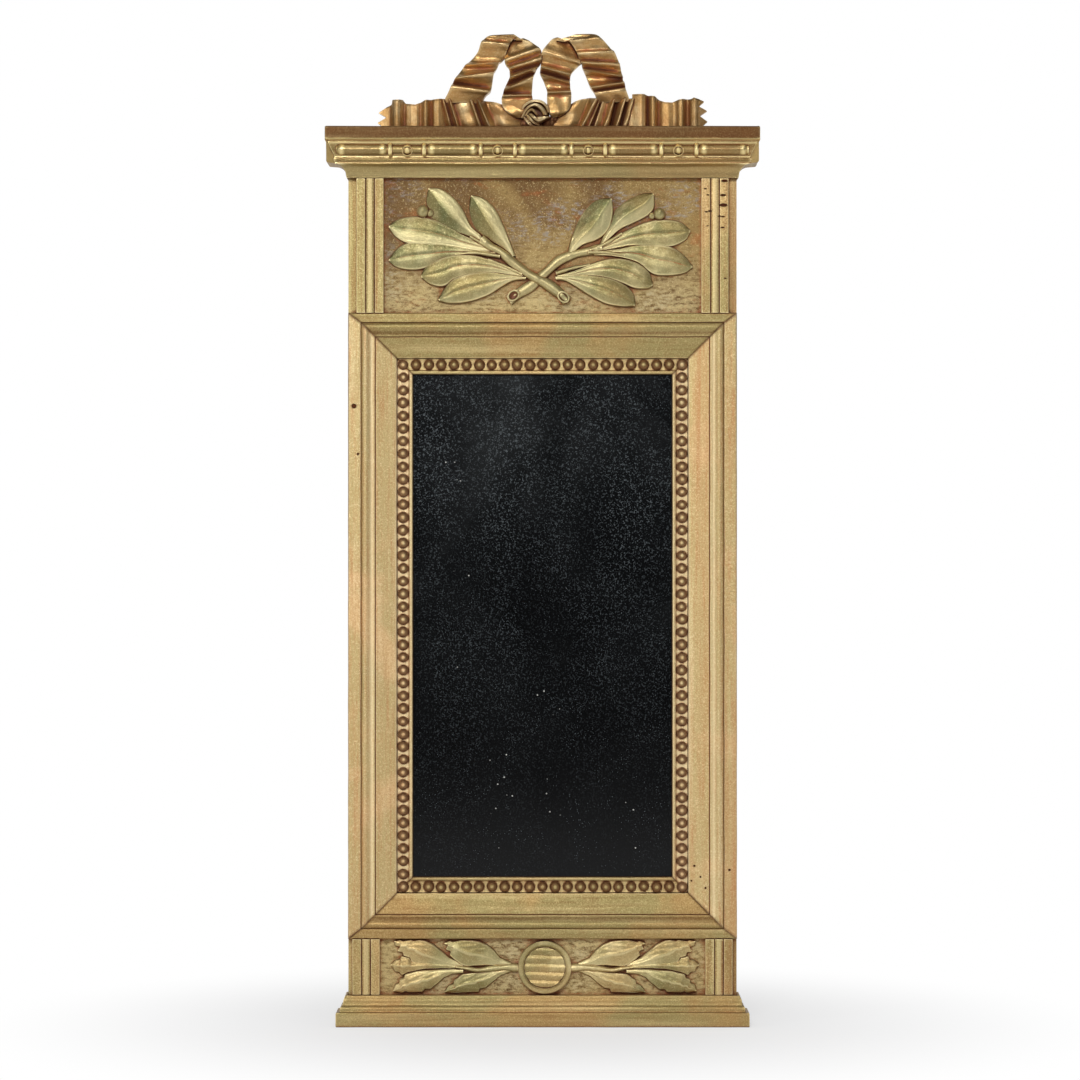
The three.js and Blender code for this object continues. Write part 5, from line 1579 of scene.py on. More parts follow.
# ---------------------------------------------------------------------------- hangers
@dataclass
class Hangers:
    """The two iron straps with their rings, and the screws and nails at the back."""

    wire: float = 1.5 * MM
    corner: float = 2 * MM
    segments: int = 16

    def add_ring(self, side: Side) -> None:
        """Bends a smooth ring that stands for the faceted one.

        Args:
            side: The side.
        """
        name, r = f"hanger_ring_{side.word}", self.wire
        low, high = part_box(name)
        half, top, corner = (high.x - low.x) / 2 - r, high.z - r, self.corner
        path = arc((half - corner, top - corner), corner, math.pi / 2, 0, 6)
        path += arc((0, top - half), half, -0.05, 0.05 - math.pi, 28)
        path += arc((corner - half, top - corner), corner, math.pi, math.pi / 2, 6)
        points = np.array(path)
        way = np.roll(points, -1, 0) - np.roll(points, 1, 0)
        way /= np.linalg.norm(way, axis=1)[:, None]
        angles = np.linspace(0, 2 * math.pi, self.segments, endpoint=False)
        out, deep = r * np.cos(angles), r * np.sin(angles) + (low.y + high.y) / 2
        x = (low.x + high.x) / 2 + points[:, :1] + way[:, 1:] * out
        z = points[:, 1:] - way[:, :1] * out
        draft = Draft()
        draft.loft(stack(x, -deep, z), closed=True)
        draft.piece(f"wire_{name}", IRON, name, f"ring_{side.word}")

    def add_screw(self, name: str) -> None:
        """Turns a screw with a hollow head that stands for the plain one.

        Args:
            name: The screw's node.
        """
        low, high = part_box(name)
        x, z = centre_of(low, high)
        head, end = (high.x - low.x) / 2, high.y - low.y
        shank = 0.46 * head
        profile = [(0, 0.35 * MM), (0.5 * head, 0.3 * MM), (0.9 * head, 0.05 * MM)]
        profile += [(0.98 * head, 0.25 * MM), (shank, 1.4 * MM), (shank, 0.6 * end)]
        profile += [(shank * (1 - 0.7 * t), (0.6 + 0.4 * t) * end) for t in (0.3, 0.6, 1.0)]
        draft = Draft()
        draft.turned(profile, (x, high.y, z), 24)
        draft.piece(f"turned_{name}", IRON, name)

    def build(self) -> None:
        """Builds the rings, and dresses the straps, screws and nails."""
        for side in Side:
            self.add_ring(side)
            dress(f"hanger_strap_{side.word}", IRON)
            for i in (1, 2):
                self.add_screw(f"hanger_screw_{side.word}_{i}")
                dress(f"backboard_nail_{side.word}_{i}", IRON)


# ---------------------------------------------------------------------------- leaves
DRAWING_MIDDLE = 542.5
DRAWING_AXIS = 226.0


def drawn(points: Outline) -> np.ndarray:
    """Turns points of the carver's drawing into X and Z.

    Args:
        points: Millimetres to the right and down on the drawing, on which DRAWING_MIDDLE is the
            mirror's middle line and DRAWING_AXIS the height of the hangers.

    Returns:
        The points in metres.
    """
    return (np.array(points, float) - (DRAWING_MIDDLE, DRAWING_AXIS)) * (MM, -MM)


def even(points: np.ndarray, count: int, smooth: bool) -> np.ndarray:
    """Spaces points evenly along a line, or a curve through its corners, nearly to its end.

    Args:
        points: The line's corners.
        count: How many points are wanted.
        smooth: Whether the line is a curve.

    Returns:
        The points.
    """
    line = spline(points, np.linspace(0, 1, 12 * len(points))) if smooth else points
    run = np.concatenate([[0], np.cumsum(np.linalg.norm(np.diff(line, axis=0), axis=1))])
    wanted = np.linspace(0, 0.992, count) * run[-1]
    return np.stack([np.interp(wanted, run, line[:, i]) for i in range(2)], axis=1)


@dataclass(frozen=True)
class Leaf:
    """One carved leaf: its two edges on the drawing, each from the stalk to the tip.

    Heights are millimetres over the ground. The fold is a groove along the midrib, or a ridge
    where it is below 0, and the roof is how far the leaf falls from its midrib to its edges.
    """

    first: Outline
    second: Outline
    rise: float
    fold: float = 0.4
    roof: float = 0.0
    tilt: float = 0.0
    vein: float = 0.0
    smooth: bool = True
    rows: ClassVar[int] = 56
    columns: ClassVar[int] = 23
    stalk: ClassVar[float] = 1.3 * MM
    tip: ClassVar[float] = 0.12 * MM
    skirt: ClassVar[float] = 0.9 * MM

    def mirrored(self, middle: float) -> "Leaf":
        """Gives the leaf's mirror image about a line of the drawing.

        Args:
            middle: Where the line crosses the drawing.

        Returns:
            The mirrored leaf.
        """
        first, second = (
            tuple((2 * middle - x, y) for x, y in edge) for edge in (self.first, self.second)
        )
        return replace(self, first=first, second=second)

    def add_to(self, draft: Draft, ground: float) -> None:
        """Carves the leaf on a branch, over the ground behind it.

        Args:
            draft: The branch.
            ground: Depth of the ground.
        """
        t = np.linspace(0, 1, self.rows)[:, None]
        a, b = (even(drawn(edge), self.rows, self.smooth) for edge in (self.first, self.second))
        middle, half = (a + b) / 2, (b - a) / 2
        width = np.linalg.norm(half, axis=1)[:, None]
        neck = np.maximum(self.stalk * (1 - t) ** 2, self.tip)
        half = half * np.maximum(1, neck / np.maximum(width, 1e-6))
        skirt = np.minimum(self.skirt / np.maximum(width, neck), 0.5)
        v = np.linspace(-1, 1, self.columns) * np.ones((self.rows, 1))
        v = np.hstack([-1 - skirt, v, 1 + skirt])
        away, outside = np.abs(v), np.abs(v) > 1
        belly = width / width.max()
        inside = np.minimum(t * 5, 1) * np.minimum((1 - t) * 6, 1)
        ribs = np.cos((away * 2.2 + t * 4.5) * 2 * math.pi) * away * (1 - away) * 4
        rise = self.rise * (0.7 + 0.3 * belly) * (1 - 0.22 * away**3)
        rise = rise + (0.35 * bell(away, 0.92, 0.07) - self.fold * bell(v, 0, 0.13)) * inside
        rise = rise + (self.vein * ribs * inside + self.tilt * v - self.roof * away) * belly
        rise = np.where(outside, rise * 0.6, rise)
        # Painted light: highlights on the raised half, near the stalk and on a raised midrib; the
        # leaf darkens towards its edges and its skirt is dark, as bole and painted shade.
        midrib = bell(v, 0.05, 0.06) * inside * 0.8 * (self.fold < 0)
        lit = np.clip(self.tilt * v, 0, 0.6) + np.clip(0.75 - t * 1.6, 0, 0.6)
        wear_and_light = np.where(outside, 0.9, 0.12 * away - np.maximum(lit, midrib))
        x, z = (middle[:, i : i + 1] + half[:, i : i + 1] * v for i in range(2))
        depth = ground + np.maximum(rise, 1.0) * MM
        draft.relief(stack(x, depth, z), ground - 0.2 * MM, wear_and_light)


def add_stem(
    draft: Draft, path: Outline, widths: Pair, rises: Pair,
    ground: float, knobs: float = 0.0,
) -> None:
    """Carves a half-round stem along a path.

    Args:
        draft: The branch that it belongs to.
        path: Its middle line on the drawing.
        widths: Its width at both ends, in millimetres.
        rises: Its height at both ends, in millimetres.
        ground: Depth of the ground.
        knobs: Height of its knuckles, in millimetres.
    """
    shares = np.linspace(0, 1, 60)
    line = spline(drawn(path), shares)
    way = np.gradient(line, axis=0)
    way /= np.linalg.norm(way, axis=1)[:, None]
    v = np.linspace(-1, 1, 15)
    shares = shares[:, None]
    swell = 1 + 0.1 * np.sin(shares * 19)
    half = (widths[0] + (widths[1] - widths[0]) * shares) / 2 * swell * MM
    rise = rises[0] + (rises[1] - rises[0]) * shares
    x = line[:, :1] - way[:, 1:] * v * half
    z = line[:, 1:] + way[:, :1] * v * half
    bump = knobs * np.maximum(0, np.sin(shares * 23)) ** 6
    round_over = np.sqrt(np.maximum(1 - (v * 0.97) ** 2, 0.04))
    depth = ground + (rise * (0.25 + 0.75 * round_over) + bump) * MM
    # A painted highlight along the stem's top, and dark edges at the ground, as bole and painted
    # shade.
    wear_and_light = np.where(np.abs(v) > 0.95, 0.8, -0.35) * np.ones_like(x)
    draft.relief(stack(x, depth, z), ground - 0.2 * MM, wear_and_light)


@dataclass
class Laurel:
    """The two laurel branches that cross in the frieze, the left one first in each pair.

    Each cut end has the middle of its oval face on the drawing, the way of the stem in degrees
    from level, and the height of its raised ring in millimetres.
    """

    left: tuple[Leaf, ...] = (
        Leaf(
            ((486, 243), (480, 235), (470.3, 225.6), (462.5, 210), (453, 197.5), (440.6, 188.8),
             (428.1, 187.5)),
            ((484.4, 245), (469, 235.6), (453, 231), (440.6, 226.5), (430, 214), (426.6, 200.6),
             (428.1, 188.5)),
            6, 0, 2.4, -1.5, 0.06,
        ),
        Leaf(
            ((515, 256), (508, 238), (503, 225.6), (495.3, 210), (484.4, 199), (470.9, 194.5)),
            ((510, 256), (500, 246), (484.4, 237), (475, 226), (469.8, 210), (470.5, 195.5)),
            6, 0, 2.4, -1.5, 0.06,
        ),
        Leaf(
            ((500, 250), (487.5, 244), (466, 236), (453, 228.8), (437.5, 220.9), (418.8, 216.5),
             (400, 218.5), (388, 225.6)),
            ((496, 253), (469, 249), (450, 246), (431, 244.6), (409.4, 243), (396.5, 236.6),
             (388, 226.6)),
            4.6, 0.5, 0.2, 1.1,
        ),
        Leaf(
            ((498, 251), (479, 250), (462.5, 247.5), (447, 244.5), (428, 241.6), (412.5, 241.6),
             (399, 247), (388, 259.4)),
            ((494, 254), (478, 253.5), (459.4, 255.6), (440.6, 260.3), (428, 266.4), (412.5, 269),
             (396.9, 266.5), (388, 260)),
            5.9, 0.6, 0.2, 0.3,
        ),
        Leaf(
            ((524, 274), (506.3, 265.8), (490.6, 259.6), (472, 255), (453, 255), (437.5, 259.8),
             (426, 266.3), (420.3, 276.3)),
            ((521, 277), (493.8, 272.5), (468.8, 274.4), (453, 279.2), (443.8, 285.3),
             (431.3, 283.8), (420.6, 277)),
            7.2, 0.5, 0.2, 0.3,
        ),
        Leaf(
            ((527, 276.5), (509.4, 274.8), (487.5, 272), (468.8, 273.8), (453, 279.2), (445, 288),
             (437.7, 299.7)),
            ((525, 279), (512.5, 280.4), (500, 287.4), (487.5, 294.8), (468.8, 301), (450, 302.8),
             (438.3, 300.3)),
            8.4, 0.5, 0.2, 0.4,
        ),
    )
    right: tuple[Leaf, ...] = (
        Leaf(
            ((600, 244), (607.8, 225.6), (615.6, 210), (628, 200), (642, 193.8), (653.8, 192.8)),
            ((603.5, 244), (618.8, 229.5), (631.3, 223), (647, 215), (653.6, 206.9),
             (654.2, 193.8)),
            6, 0, 2.4, 1.5, 0.06,
        ),
        Leaf(
            ((568, 253), (571.9, 238), (578, 222.5), (586, 209.6), (597, 200), (611.6, 197.6)),
            ((572, 254), (581.3, 245), (597, 238.7), (608, 229), (612.4, 213), (612, 198.5)),
            6, 0, 2.4, 1.5, 0.06,
        ),
        Leaf(
            ((596, 249), (618.8, 234.6), (634.4, 226.8), (647, 222), (662.5, 219.6), (680, 222),
             (691, 230.3)),
            ((594, 252), (612.5, 248), (631.3, 245), (650, 245.4), (668.8, 246.2), (684.6, 240),
             (691, 231.2)),
            4.6, 0.5, 0.2, 0.3,
        ),
        Leaf(
            ((596, 251), (618.8, 248.7), (634.4, 245.4), (653, 244.5), (669, 246.4), (681.5, 253.4),
             (693.4, 266.3)),
            ((594, 254.5), (615.6, 255.8), (637.5, 262), (653, 273), (668.8, 274.6), (684.4, 272.4),
             (693.2, 267)),
            5.9, 0.7, 0.2, 0.3,
        ),
        Leaf(
            ((557, 275), (575, 270.4), (590.6, 264.2), (606.3, 259.4), (622, 258.8), (637.7, 263.3),
             (648.8, 272.3), (653.3, 285)),
            ((558, 278), (581.3, 275.6), (600, 276.2), (618.8, 281), (634.4, 287.2), (647, 288),
             (653, 285.8)),
            7.2, 0.5, 0.2, 0.3,
        ),
        Leaf(
            ((555, 276), (575, 275), (593.8, 275.6), (612.5, 279), (625.3, 285.4), (633.2, 294.4),
             (635.6, 305.3)),
            ((556, 279.5), (565.6, 280.4), (578, 287.4), (590.6, 295.2), (606.3, 303), (622, 306),
             (635, 306)),
            8.4, 0.5, 0.2, 0.4,
        ),
    )
    stems: tuple[Outline, Outline] = (
        ((481, 238), (490, 246), (500, 251.3), (515.6, 264.7), (531.3, 275.6), (547, 283.8),
         (559.4, 293), (567, 300.5)),
        ((602, 247), (590, 250.5), (575, 253.8), (559.4, 260), (547, 270.9), (531.3, 285),
         (519, 292.8), (508.5, 300)),
    )
    stem_rises: tuple[Pair, ...] = ((6.4, 9.6), (6, 5.4))
    stalks: tuple[tuple[Outline, ...], ...] = (
        (((470, 236), (484, 244), (500, 252)), ((455, 254), (475, 252.5), (500, 256)),
         ((488, 259), (505, 266), (522, 274))),
        (((622, 233), (606, 243), (590, 250)), ((625, 255), (606, 252), (588, 252)),
         ((590, 264.5), (572, 268), (556, 273))),
    )
    berries: tuple[Pair, ...] = ((422.6, 210.8), (659.6, 213.4))
    ends: tuple[tuple[Pair, float, float], ...] = (
        ((563.4, 297), -42, 10.4), ((513.4, 295.4), 38, 8.2),
    )

    def add_end(
        self, draft: Draft, place: Pair, slope: float, top: float, ground: float
    ) -> None:
        """Cuts the end of a stem: an oval face with a raised ring, which has a painted highlight,
        and a sunk pith painted dark, partly as its colour and partly as shade.

        Args:
            draft: The branch.
            place: Middle of the oval on the drawing.
            slope: Way of the stem, in degrees.
            top: Height of the ring, in millimetres.
            ground: Depth of the ground.
        """
        x, z = drawn([place])[0]
        angle = math.radians(slope)
        steps = [(6.6, -top), (7, -1.8), (6.6, -0.3), (5.6, 0), (4.6, -0.7), (3.6, -2)]
        profile = near((0, top * MM), *steps, (1.4, -2.6), (0, -2.7))
        across = (math.cos(angle), 0, math.sin(angle))
        # Painted highlight on the ring's top; the sunk pith is painted dark, partly as shade.
        wear_and_light = [0, 0, 0, -0.5, 0.4, 1, 1, 1]
        draft.turned(profile, (x, -ground, z), 28, across=across, wear_and_light=wear_and_light, squash=0.76)

    def add_berries(
        self, draft: Draft, place: Pair, inward: int, ground: float
    ) -> None:
        """Carves a large and a small berry, and the stalk that carries them.

        Args:
            draft: The branch.
            place: Middle of the large berry on the drawing.
            inward: The way to the middle line: -1 or 1.
            ground: Depth of the ground.
        """
        bx, by = place
        for dx, dy, r in ((0, 0, 6.2), (inward * 7.4, 1.6, 3.8)):
            x, z = drawn([(bx + dx, by + dy)])[0]
            profile = [(r * MM, 0), *arc((0, 1 * MM), r * MM, 0, 1.5, 8)]
            draft.turned(profile, (x, -ground, z), 24)
        path = ((bx, by + 3), (bx + inward * 5, by + 11), (bx + inward * 14, by + 17))
        add_stem(draft, path, (2.6, 2.6), (2.2, 2.6), ground)

    def build(self) -> None:
        """Carves both branches."""
        ground = PLACES.front_plane
        for i, side in enumerate(Side):
            draft = Draft()
            for leaf in (self.left, self.right)[i]:
                leaf.add_to(draft, ground)
            add_stem(draft, self.stems[i], (8, 11.5), self.stem_rises[i], ground, 0.7)
            for stalk in self.stalks[i]:
                add_stem(draft, stalk, (3.2, 5), (5, 7.2), ground)
            self.add_berries(draft, self.berries[i], -side.value, ground)
            self.add_end(draft, *self.ends[i], ground)
            draft.waver(0.1 * MM, 111)
            name, node = f"carved_laurel_{side.word}", f"laurel_branch_{side.word}"
            draft.piece(name, GILT_CARVED, node, crisp=38)


@dataclass
class BaseOrnament:
    """The ribbed medallion between two sprays of leaves."""

    leaves: tuple[Leaf, ...] = (
        Leaf(
            ((511, 963.5), (500, 958.8), (494, 951.4), (486.6, 945.4), (478.6, 942), (470.5, 940.6),
             (461.2, 940.4), (452, 942.3), (449.8, 941.2), (443.7, 943.4)),
            ((512, 967.5), (485.3, 965.6), (474.5, 966), (466.5, 966.9), (461.2, 965.1),
             (454.5, 960.1), (449.8, 955.4), (450.6, 952), (445.6, 949.6), (447.6, 946.7),
             (443.9, 944)),
            5.6, -0.4, 0.5, 0.3, 0.12, False,
        ),
        Leaf(
            ((512, 968.5), (490, 972), (478.6, 972.8), (462.5, 974.9), (457.4, 979), (454, 981),
             (453.4, 984.6), (449, 986.4), (443.7, 992.9)),
            ((511, 972), (500, 976), (492, 982.9), (485.3, 988.3), (479.6, 989.4), (478.6, 992.6),
             (465, 993.3), (453, 993.6), (443.9, 993.3)),
            5, -0.5, 0.5, -0.3, 0.1, False,
        ),
        Leaf(
            ((463, 965), (457, 961.8), (449, 958.6), (441, 952), (433, 945.4), (425, 941.2),
             (419.6, 940.2), (413, 941.4), (411, 940.2), (402, 941.6), (400, 940.4), (394, 941.4)),
            ((463, 968), (440, 967), (417, 966), (411, 962.4), (409.6, 958.4), (403.6, 956.4),
             (402.6, 952.8), (397.4, 952), (399.4, 947.6), (395, 945.6), (394, 942)),
            5.4, -0.4, 0.5, 0.3, 0.12, False,
        ),
        Leaf(
            ((463, 966), (440, 964), (425, 962.6), (411, 961), (409, 958.5), (401, 957), (400, 960),
             (395.5, 961), (390, 965)),
            ((463, 969), (440, 968.6), (425, 969.2), (408, 972.6), (401.6, 975.5), (399, 972.6),
             (394.2, 971.5), (393, 968.6), (390, 965.8)),
            6.1, -0.4, 0.4, 0, 0.1, False,
        ),
        Leaf(
            ((463, 969.5), (443, 970), (417, 971.8), (405, 974.9), (403.6, 978.4), (399.4, 980),
             (399, 983.6), (395, 985.6), (392.4, 991.4)),
            ((463, 973.5), (451.8, 974.2), (443.7, 977.6), (438.4, 983), (430.4, 989.4),
             (424.6, 989.6), (422.3, 992.4), (409, 993), (405, 991.6), (402, 993.4), (392.8, 992)),
            6.6, -0.5, 0.5, -0.3, 0.1, False,
        ),
    )
    stem: Outline = (
        (519, 968.4), (505, 968), (492, 969), (478, 970.4), (466, 968.6), (456, 967.4),
    )
    middle: float = 544.8
    rim: float = 6 * MM
    disc: float = 3.6 * MM
    ribs: int = 5
    rib_height: float = 1.2 * MM

    def add_medallion(self) -> None:
        """Turns the ring and carves level ribs in the disc inside it."""
        low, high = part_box("medallion")
        x, z = centre_of(low, high)
        radius, thick, ground = (high.x - low.x) / 2, high.y - low.y, -high.y
        inner = radius - self.rim
        angles = np.linspace(0, 2 * math.pi, 96, endpoint=False)
        circle = (np.cos(angles), np.sin(angles))
        px, pz = (np.linspace(0.02, 1, 30)[:, None] * (inner - 0.2 * MM) * way for way in circle)
        phase = pz * self.ribs / (2 * inner) + 0.06 * np.sin(px / 9 / MM) + 0.08
        rib = np.abs(np.cos(math.pi * phase)) ** 0.8
        disc = stack(x + px, ground + self.disc + rib * self.rib_height, z + pz)
        profile = near((inner, 0), (0, 3.4), (0.2, 5.6))
        profile += near((inner, thick), (1.4, -0.4), (1.9, 0))
        profile += [*near((radius, thick), (-1, 0), (-0.3, -0.5), (0, -2)), (radius, 0)]
        radii, runs = np.array(profile).T[:, :, None]
        ring = stack(x + radii * circle[0], ground + runs, z + radii * circle[1])
        draft = Draft()
        draft.loft(np.concatenate([disc, ring]))
        draft.waver(0.12 * MM, 121)
        draft.piece("carved_medallion", GILT_BASE, "medallion", crisp=24, hollow_gain=1.2)

    def build(self) -> None:
        """Carves the medallion and both sprays."""
        self.add_medallion()
        ground = PLACES.front_plane
        for side in Side:
            draft = Draft()
            path = self.stem
            leaves = self.leaves
            if side is Side.RIGHT:
                path = [(2 * self.middle - x, y) for x, y in path]
                leaves = [leaf.mirrored(self.middle) for leaf in leaves]
            for leaf in leaves:
                leaf.add_to(draft, ground)
            add_stem(draft, path, (8.4, 3), (6.2, 6.4), ground, 0.3)
            draft.waver(0.18 * MM, 122 + side.value)
            name, node = f"carved_spray_{side.word}", f"leaf_spray_{side.word}"
            draft.piece(name, GILT_BASE, node, crisp=38)


# ---------------------------------------------------------------------------- ribbon crest
Fold = tuple[float, float, float, float, float]


def read(where: np.ndarray, table: Outline) -> np.ndarray:
    """Reads a table of pairs at the given first values."""
    return np.interp(where, *np.array(table, float).T)


@dataclass
class RibbonCrest:
    """The pleated ribbon on top: two loops with two legs each, a wound knot and two long ends.

    A fold is a line across the ribbon with the height of the carving along it: x, z, x, z and
    height, in millimetres from the middle of the cornice top. An end has pairs of x and height
    across its pleats. Its rim with the teeth and its seam are pairs of z and x from the foot up,
    and its top is pairs of x and z from left to right.
    """

    left_outer: tuple[Fold, ...] = (
        (-100, 26, -61, 25, 11.5), (-95, 34.5, -57, 32.5, 14.5), (-91.5, 42, -52.5, 36.5, 16.5),
        (-90, 45.5, -51, 41.5, 10.5), (-87.5, 49.5, -49, 54.5, 16.5),
        (-84, 54.5, -47.5, 57.5, 12.5), (-80, 60, -45.5, 61, 11), (-77, 63.5, -43.5, 65.5, 15),
        (-73, 67, -41, 67, 11), (-68.5, 72, -38, 71, 10), (-64.5, 77.5, -36, 77, 11.5),
        (-61.5, 86, -33.5, 83.5, 15), (-58.5, 89.5, -31.5, 87, 12), (-53, 93, -28, 90.5, 12.5),
        (-42, 94.2, -26, 88.5, 11.5), (-29, 94.8, -20, 88.8, 10.5),
    )
    left_inner: tuple[Fold, ...] = (
        (-25, 10.5, -14, 12, 12.5), (-33, 14.5, -11, 18, 13.8), (-39.5, 21, -9.5, 24, 13),
        (-41, 29, -10, 30.5, 11.5), (-40, 33, -10.5, 33.5, 13), (-39.5, 35.5, -10.5, 37, 9.5),
        (-38.5, 38.5, -9.5, 50.5, 14.5), (-36.5, 44, -7.5, 56, 9), (-33, 50.5, -5.5, 60.5, 14.5),
        (-33, 56, -2.5, 64.5, 9.5), (-33.5, 60, -1, 70, 13), (-36.5, 63.5, -0.8, 75.5, 10),
        (-38, 68, -2.5, 80, 13), (-38, 74, -7, 84, 10), (-36, 82, -14, 89, 8),
        (-32, 89, -19, 91.5, 6.5),
    )
    right_outer: tuple[Fold, ...] = (
        (56, 25.5, 88, 27, 11.5), (52.5, 34.5, 83.5, 38.5, 15.5), (51, 37, 83, 42, 12.5),
        (48.5, 40.5, 82, 45.5, 16.5), (46.5, 45, 81, 48, 10.5), (43.5, 53, 80.5, 50.5, 9.5),
        (41.2, 58.2, 80.5, 51.2, 15.5), (40, 61, 79, 57, 11), (39, 66, 77.5, 64, 14.5),
        (37, 69, 76, 68, 11), (35, 74.7, 72, 76.5, 14.5), (33.5, 78, 69, 79.5, 11.5),
        (30.5, 83, 65, 84, 12), (26.5, 87.5, 59, 90, 14), (22, 87, 52, 94.6, 11.5),
        (14, 88.5, 34, 94.8, 10.5),
    )
    right_inner: tuple[Fold, ...] = (
        (10, 10.5, 17, 12, 12.5), (7, 15, 24, 16.5, 13.8), (5, 21.5, 28, 22, 13),
        (4.5, 32, 29, 32.5, 11.5), (4.8, 36, 28.5, 37, 14), (4, 40, 28, 40, 9.5),
        (1, 48, 27.8, 43.5, 9.5), (-2, 54, 27.5, 45.5, 14.5), (-2.5, 57, 27.7, 49, 9.5),
        (-1.8, 61.8, 28.3, 53.6, 14.5), (-1.8, 66, 31, 58, 9.5), (-1.5, 72, 36, 63, 10),
        (0, 78, 39, 66, 12), (5, 85, 37.5, 73, 9), (10, 90.5, 33, 80, 7), (15, 92.5, 27, 88, 6),
    )
    left_tail: tuple[Fold, ...] = (
        (-97, 0, -102.5, 29, 10), (-94, 0, -101, 29.5, 12), (-91.5, 0, -99.5, 29.5, 14),
        (-89.5, 0, -97.5, 29.5, 10.5), (-86.5, 0, -95, 29.5, 12), (-84, 0, -93, 29.5, 14),
        (-81, 0, -90.5, 29.5, 9.5), (-74, 0, -84, 29, 11), (-66, 0, -76, 29, 11.5),
        (-61.5, 0, -71.5, 29, 14), (-59, 0, -69, 29, 10.5), (-55, 0, -66, 29, 13),
        (-52, 0, -64.5, 29, 14.5), (-48.5, 0, -60, 28.5, 10.5), (-44.5, 0, -57, 28, 8),
        (-38, 0, -47, 26.5, 10), (-28, 0, -34, 22, 9.5), (-18, 0, -22, 18, 8),
    )
    right_tail: tuple[Fold, ...] = (
        (4, 0, 8, 14, 7.5), (14, 0, 21, 20, 8.5), (26, 0, 34, 28, 10), (32, 0, 44, 30.5, 9),
        (35, 0, 48, 31, 9), (38.5, 0, 53.5, 30, 14), (43, 0, 57, 29.5, 12), (46, 0, 58, 29.5, 13.5),
        (49, 0, 59.5, 29, 10), (52, 0, 61, 29, 12.5), (58, 0, 66, 29, 11), (61.5, 0, 71.5, 29, 14),
        (65.5, 0, 72.5, 29, 13), (67.5, 0, 74, 28, 8), (71, 0, 79, 29, 12.5),
        (74.5, 0, 83.5, 30, 14.5), (77.5, 0, 84.5, 30, 9), (80, 0, 88, 30, 12.5),
        (83.5, 0, 91.5, 30, 13.5), (86, 0, 92.5, 30, 9),
    )
    left_end: Outline = (
        (-170, 7), (-156, 8), (-152.5, 8.5), (-151, 11), (-149.5, 15), (-146, 17), (-142, 16),
        (-139.8, 10), (-138.5, 8), (-136.5, 10), (-132, 12), (-125, 12), (-122, 10), (-120.5, 12),
        (-118, 15.5), (-115, 14.5), (-113, 9.5), (-111, 9), (-109, 12.5), (-104, 13.5), (-100, 11),
        (-96, 9.5),
    )
    left_rim: Outline = (
        (0, -157.5), (6, -165.5), (11.3, -156.5), (16, -164.5), (24, -152.5), (30, -151.5),
    )
    left_top: Outline = (
        (-157.5, 22), (-153, 24.5), (-151.3, 28.4), (-139.8, 28.6), (-137, 25), (-127.5, 24),
        (-122, 26), (-117, 28.4), (-99, 30),
    )
    left_seam: Outline = ((0, -95), (14, -98), (29, -101))
    right_end: Outline = (
        (84, 10), (91, 11.5), (95, 13.5), (99, 14.5), (103, 13.5), (105, 9), (106.3, 9.5),
        (107.5, 14), (110.5, 16.5), (113.5, 14.5), (115.5, 9), (117.5, 9.5), (120, 12), (126, 12.8),
        (132, 12), (134, 13), (136.5, 16), (140, 16.5), (142, 14), (143.5, 8.5), (146.5, 8),
        (149, 12), (153, 14), (157, 11), (170, 8),
    )
    right_rim: Outline = (
        (0, 157.5), (7, 165.5), (12.6, 157.5), (17.7, 165.2), (22.3, 156.5), (27, 162.3),
        (31.2, 153),
    )
    right_top: Outline = (
        (87, 34.4), (101.5, 34.4), (106.5, 32.7), (112.5, 32), (118, 28), (122.5, 26.4), (130, 26),
        (136, 28.5), (142.5, 29.5), (148.5, 29.5), (153, 31.2), (160, 29.6),
    )
    right_seam: Outline = ((0, 83), (14, 87), (29, 90), (34, 90))
    knot: tuple[tuple[Fold, ...], ...] = (
        ((-22, 12, -24.5, 13, 12), (-18.5, 19, -20.5, 21.5, 14), (-13, 23.6, -14.5, 27, 15.5),
         (-7.5, 25.2, -7.5, 28.6, 16), (-2, 24.2, -0.5, 27.6, 16), (2.5, 20.5, 5, 23, 15.5),
         (4.5, 15, 7.5, 17, 13.5)),
        ((-18.5, 10, -22, 10.5, 14), (-15.5, 16.4, -18, 18.4, 16), (-11.5, 20.2, -12.7, 23, 18),
         (-8, 21, -7.5, 24.4, 18.5), (-4.5, 19.6, -2.6, 23.2, 18.5), (-1.2, 16, 2, 19.2, 18),
         (0.6, 12, 5, 13.6, 16)),
        ((-16.5, 11, -18, 13, 15), (-13.5, 15, -14.8, 17.6, 17), (-11, 16.6, -11.3, 19.4, 18),
         (-9.2, 15.4, -8.4, 18.6, 18), (-7.2, 13, -5.6, 15.8, 16.5), (-5.5, 11, -3, 13.6, 14)),
        ((-17, 12.5, -19.5, 11, 13.5), (-13.6, 7.5, -16.8, 5.5, 15), (-9.4, 3.6, -12, 1.2, 15),
         (-4, 1.6, -6, 0, 13)),
        ((-14, 14, -17, 12.6, 15.5), (-10.6, 9, -13.6, 7.4, 18), (-6.8, 5.6, -9.4, 3.6, 17.5),
         (-2.5, 4.4, -4, 1.6, 15)),
        ((-10.5, 15, -14, 14, 16), (-7.6, 11.4, -10.6, 9.2, 19), (-4.2, 9, -6.8, 5.8, 18.5),
         (0, 8, -2.5, 4.6, 16)),
        ((-7.5, 11, -6, 4, 17), (-1.5, 11.4, -1.5, 5, 19), (3.5, 11.4, 2.5, 7.4, 19.5),
         (7.8, 11, 7.2, 10.2, 17.5)),
    )
    knot_seat: tuple[tuple[float, float, float, float], ...] = (
        (-6.5, 13.5, 13.5, 9.5), (-17.5, 5.4, 5.4, 9), (5.4, 6.4, 6.4, 10.5), (10.5, 9.5, 4.4, 9),
    )
    level: float = 12.0
    contrast: float = 1.4
    foot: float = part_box("ribbon_bow")[0].z
    back: float = -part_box("ribbon_bow")[1].y

